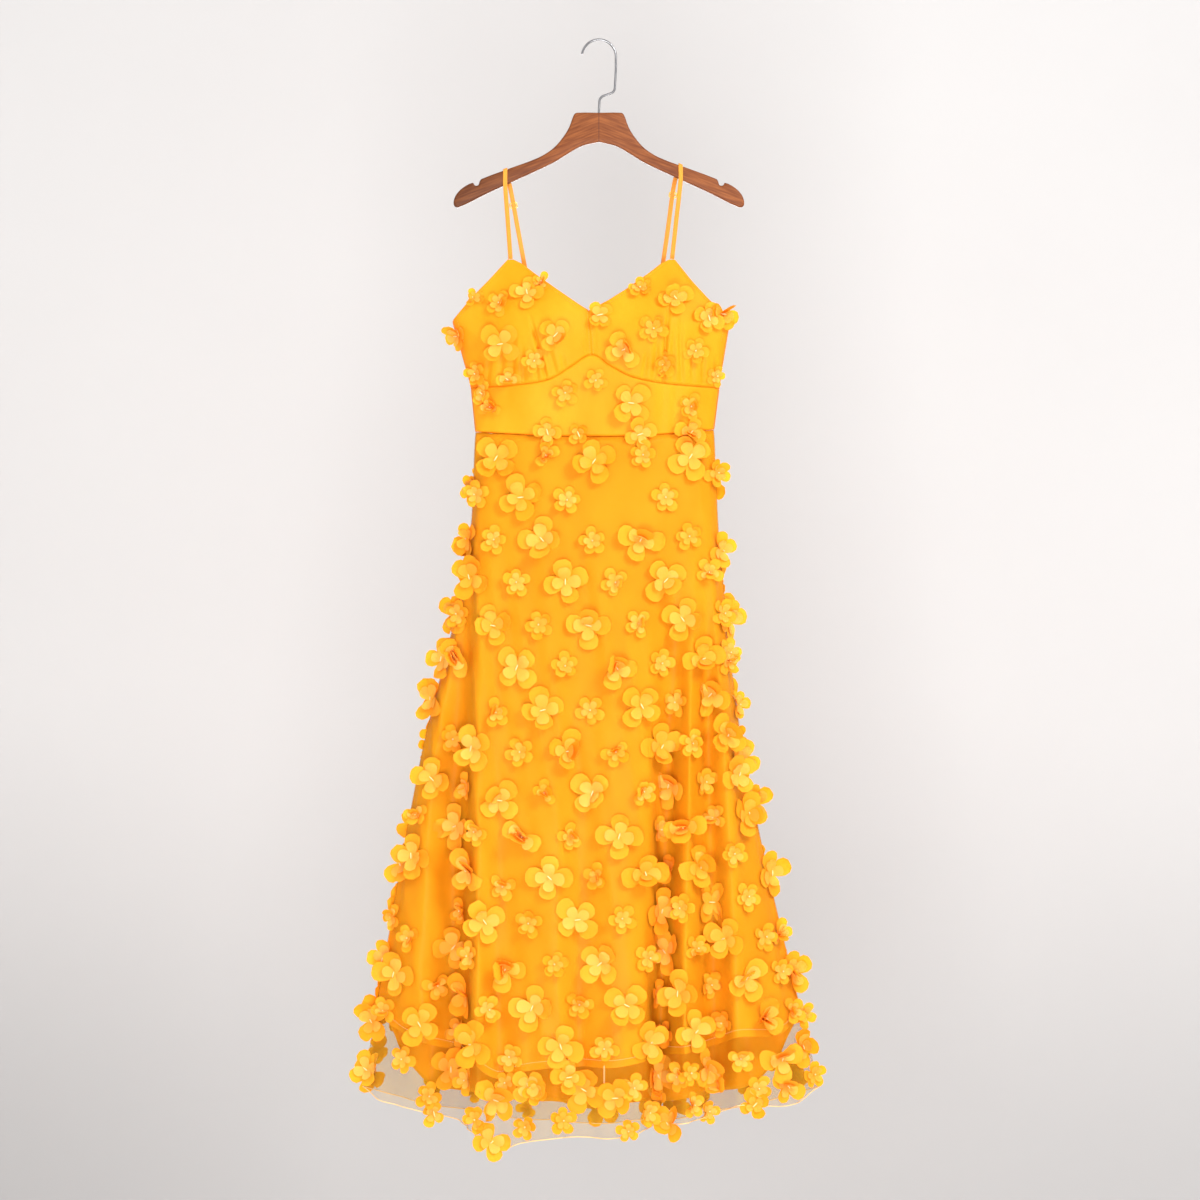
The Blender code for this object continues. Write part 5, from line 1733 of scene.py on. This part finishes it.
# The notch for a strap, the round tip, and back along the foot
HANGER_NOTCH = ((158.7, 187.2), (161.5, 190.5), (163.5, 195.8), (168.0, 196.2), (171.0, 192.6))
HANGER_TIP = ((184.0, 199.0), (193.0, 208.0), (196.7, 217.0), (196.0, 224.0), (190.0, 226.0))
HANGER_FOOT = ((150.0, 206.5), (112.0, 189.0), (62.0, 165.6), (40.0, 152.0), (22.0, 142.5), (0.0, 137.3))
HANGER_HALF = HANGER_TOP + HANGER_NOTCH + HANGER_TIP + HANGER_FOOT
HANGER_ROUNDING = 3.0
BAR_CREASE_ANGLE = math.radians(35)
# The wood is darker towards the tip of the left arm: x there, x where it is even, share of the colour left
DARK_ARM_TIP = -0.185
DARK_ARM_EVEN = -0.045
DARK_ARM_SHARE = 0.60
wood, wood_tree, wood_shader = new_material("stained_wood_grain", 0.5, gloss=0.22)
print("outline points:", len(HANGER_HALF))

# %% Wood grain
# Half the width of the glue line, and its colour
GLUE_LINE = 0.0004
GLUE_COLOUR = (0.07, 0.02, 0.012, 1.0)
where = add_node(wood_tree, "ShaderNodeTexCoord")
split = add_node(wood_tree, "ShaderNodeSeparateXYZ", Vector=where.outputs["Object"])
fold_over = add_node(wood_tree, "ShaderNodeMath", {"operation": "ABSOLUTE"}, Value=split.outputs["X"])
arm = add_node(wood_tree, "ShaderNodeCombineXYZ",
               X=fold_over.outputs[0], Y=split.outputs["Y"], Z=split.outputs["Z"])
sloped = add_node(wood_tree, "ShaderNodeMapping", {"vector_type": "TEXTURE"},
                  Vector=arm.outputs["Vector"], Rotation=(0.0, HANGER_SLOPE, 0.0), Scale=(12.0, 1.0, 1.0))
wood_grain = noise(wood_tree, sloped.outputs["Vector"], 420.0, 6.0)
grain_colour = blend_colours(wood_tree, wood_grain, (0.125, 0.029, 0.006), (0.252, 0.076, 0.019), 0.32, 0.68)
# The wood is darker towards the tip of the left arm
grain_colour = dimmed(wood_tree, grain_colour, split.outputs["X"], DARK_ARM_TIP, DARK_ARM_EVEN, DARK_ARM_SHARE)
glue = add_node(wood_tree, "ShaderNodeMath", {"operation": "LESS_THAN"}, Value=fold_over.outputs[0])
glue.inputs[1].default_value = GLUE_LINE
seam_mix = add_node(wood_tree, "ShaderNodeMix", {"data_type": "RGBA"},
                    Factor=glue.outputs[0], A=grain_colour, B=GLUE_COLOUR)
wood_tree.links.new(seam_mix.outputs["Result"], wood_shader.inputs["Base Color"])
bump_from(wood_tree, wood_shader, wood_grain, 0.12, 0.0004)
print("wood finish:", wood.name)

# %% Make the bar
half_line = smooth_line([(x, 0.0, -drop) for x, drop in HANGER_HALF], 3)
outline = list(half_line) + [p * (-1.0, 1.0, 1.0) for p in half_line[-2:0:-1]]
hanger_bar = drawn("hanger_bar", [(x, z, 0.0) for x, _, z in outline], cyclic=True, dimensions="2D",
                   fill_mode="BOTH", extrude=(HANGER_THICKNESS / 2 - HANGER_ROUNDING) * MM,
                   bevel_depth=HANGER_ROUNDING * MM, bevel_resolution=3, offset=-HANGER_ROUNDING * MM)
edit_all(hanger_bar, lambda: bpy.ops.mesh.remove_doubles(threshold=0.00001),
         lambda: bpy.ops.mesh.normals_make_consistent(inside=False))
hanger_bar.rotation_euler = (math.pi / 2, 0.0, 0.0)
bpy.ops.object.transform_apply(location=False, rotation=True, scale=False)
bpy.ops.object.shade_smooth_by_angle(angle=BAR_CREASE_ANGLE)
hanger_bar.data.materials.append(wood)
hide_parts("hanger_wood")
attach(hanger_bar, "root")
print("bar faces:", len(hanger_bar.data.polygons))

# %% Make the hook
HOOK_WIRE = 3.5
HOOK_RADIUS = 23.0
HOOK_TIP_ANGLE = 172
HOOK_SHANK = ((23.0, 40.0), (21.2, 69.5), (1.0, 76.5), (0.0, 94.0), (0.0, 109.0))
HOOK_CORNER = 6.0
# Steps: degrees round the bend, points in a corner
HOOK_BEND_STEP = 6
HOOK_CORNER_STEPS = 8
hook_centre = HOOK_RADIUS - HOOK_WIRE / 2
hook_line = []
for degrees in range(HOOK_TIP_ANGLE, 0, -HOOK_BEND_STEP):
    angle = math.radians(degrees)
    hook_line.append((HOOK_RADIUS * math.cos(angle), 0.0, -hook_centre + HOOK_RADIUS * math.sin(angle)))
shank = [np.array((x, 0.0, -drop)) for x, drop in ((HOOK_RADIUS, hook_centre), *HOOK_SHANK)]
hook_line.append(tuple(shank[0]))
for before, corner, after in zip(shank, shank[1:], shank[2:]):
    start = corner + unit(before - corner) * HOOK_CORNER
    end = corner + unit(after - corner) * HOOK_CORNER
    for k in range(HOOK_CORNER_STEPS + 1):
        t = k / HOOK_CORNER_STEPS
        hook_line.append(tuple(mix(mix(start, corner, t), mix(corner, end, t), t)))
hook_line.append(tuple(shank[-1]))
hook = tube("hook_wire", np.array(hook_line), HOOK_WIRE / 2, steel, "steel_wire")
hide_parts("hanger_hook")
print("hook points:", len(hook_line))
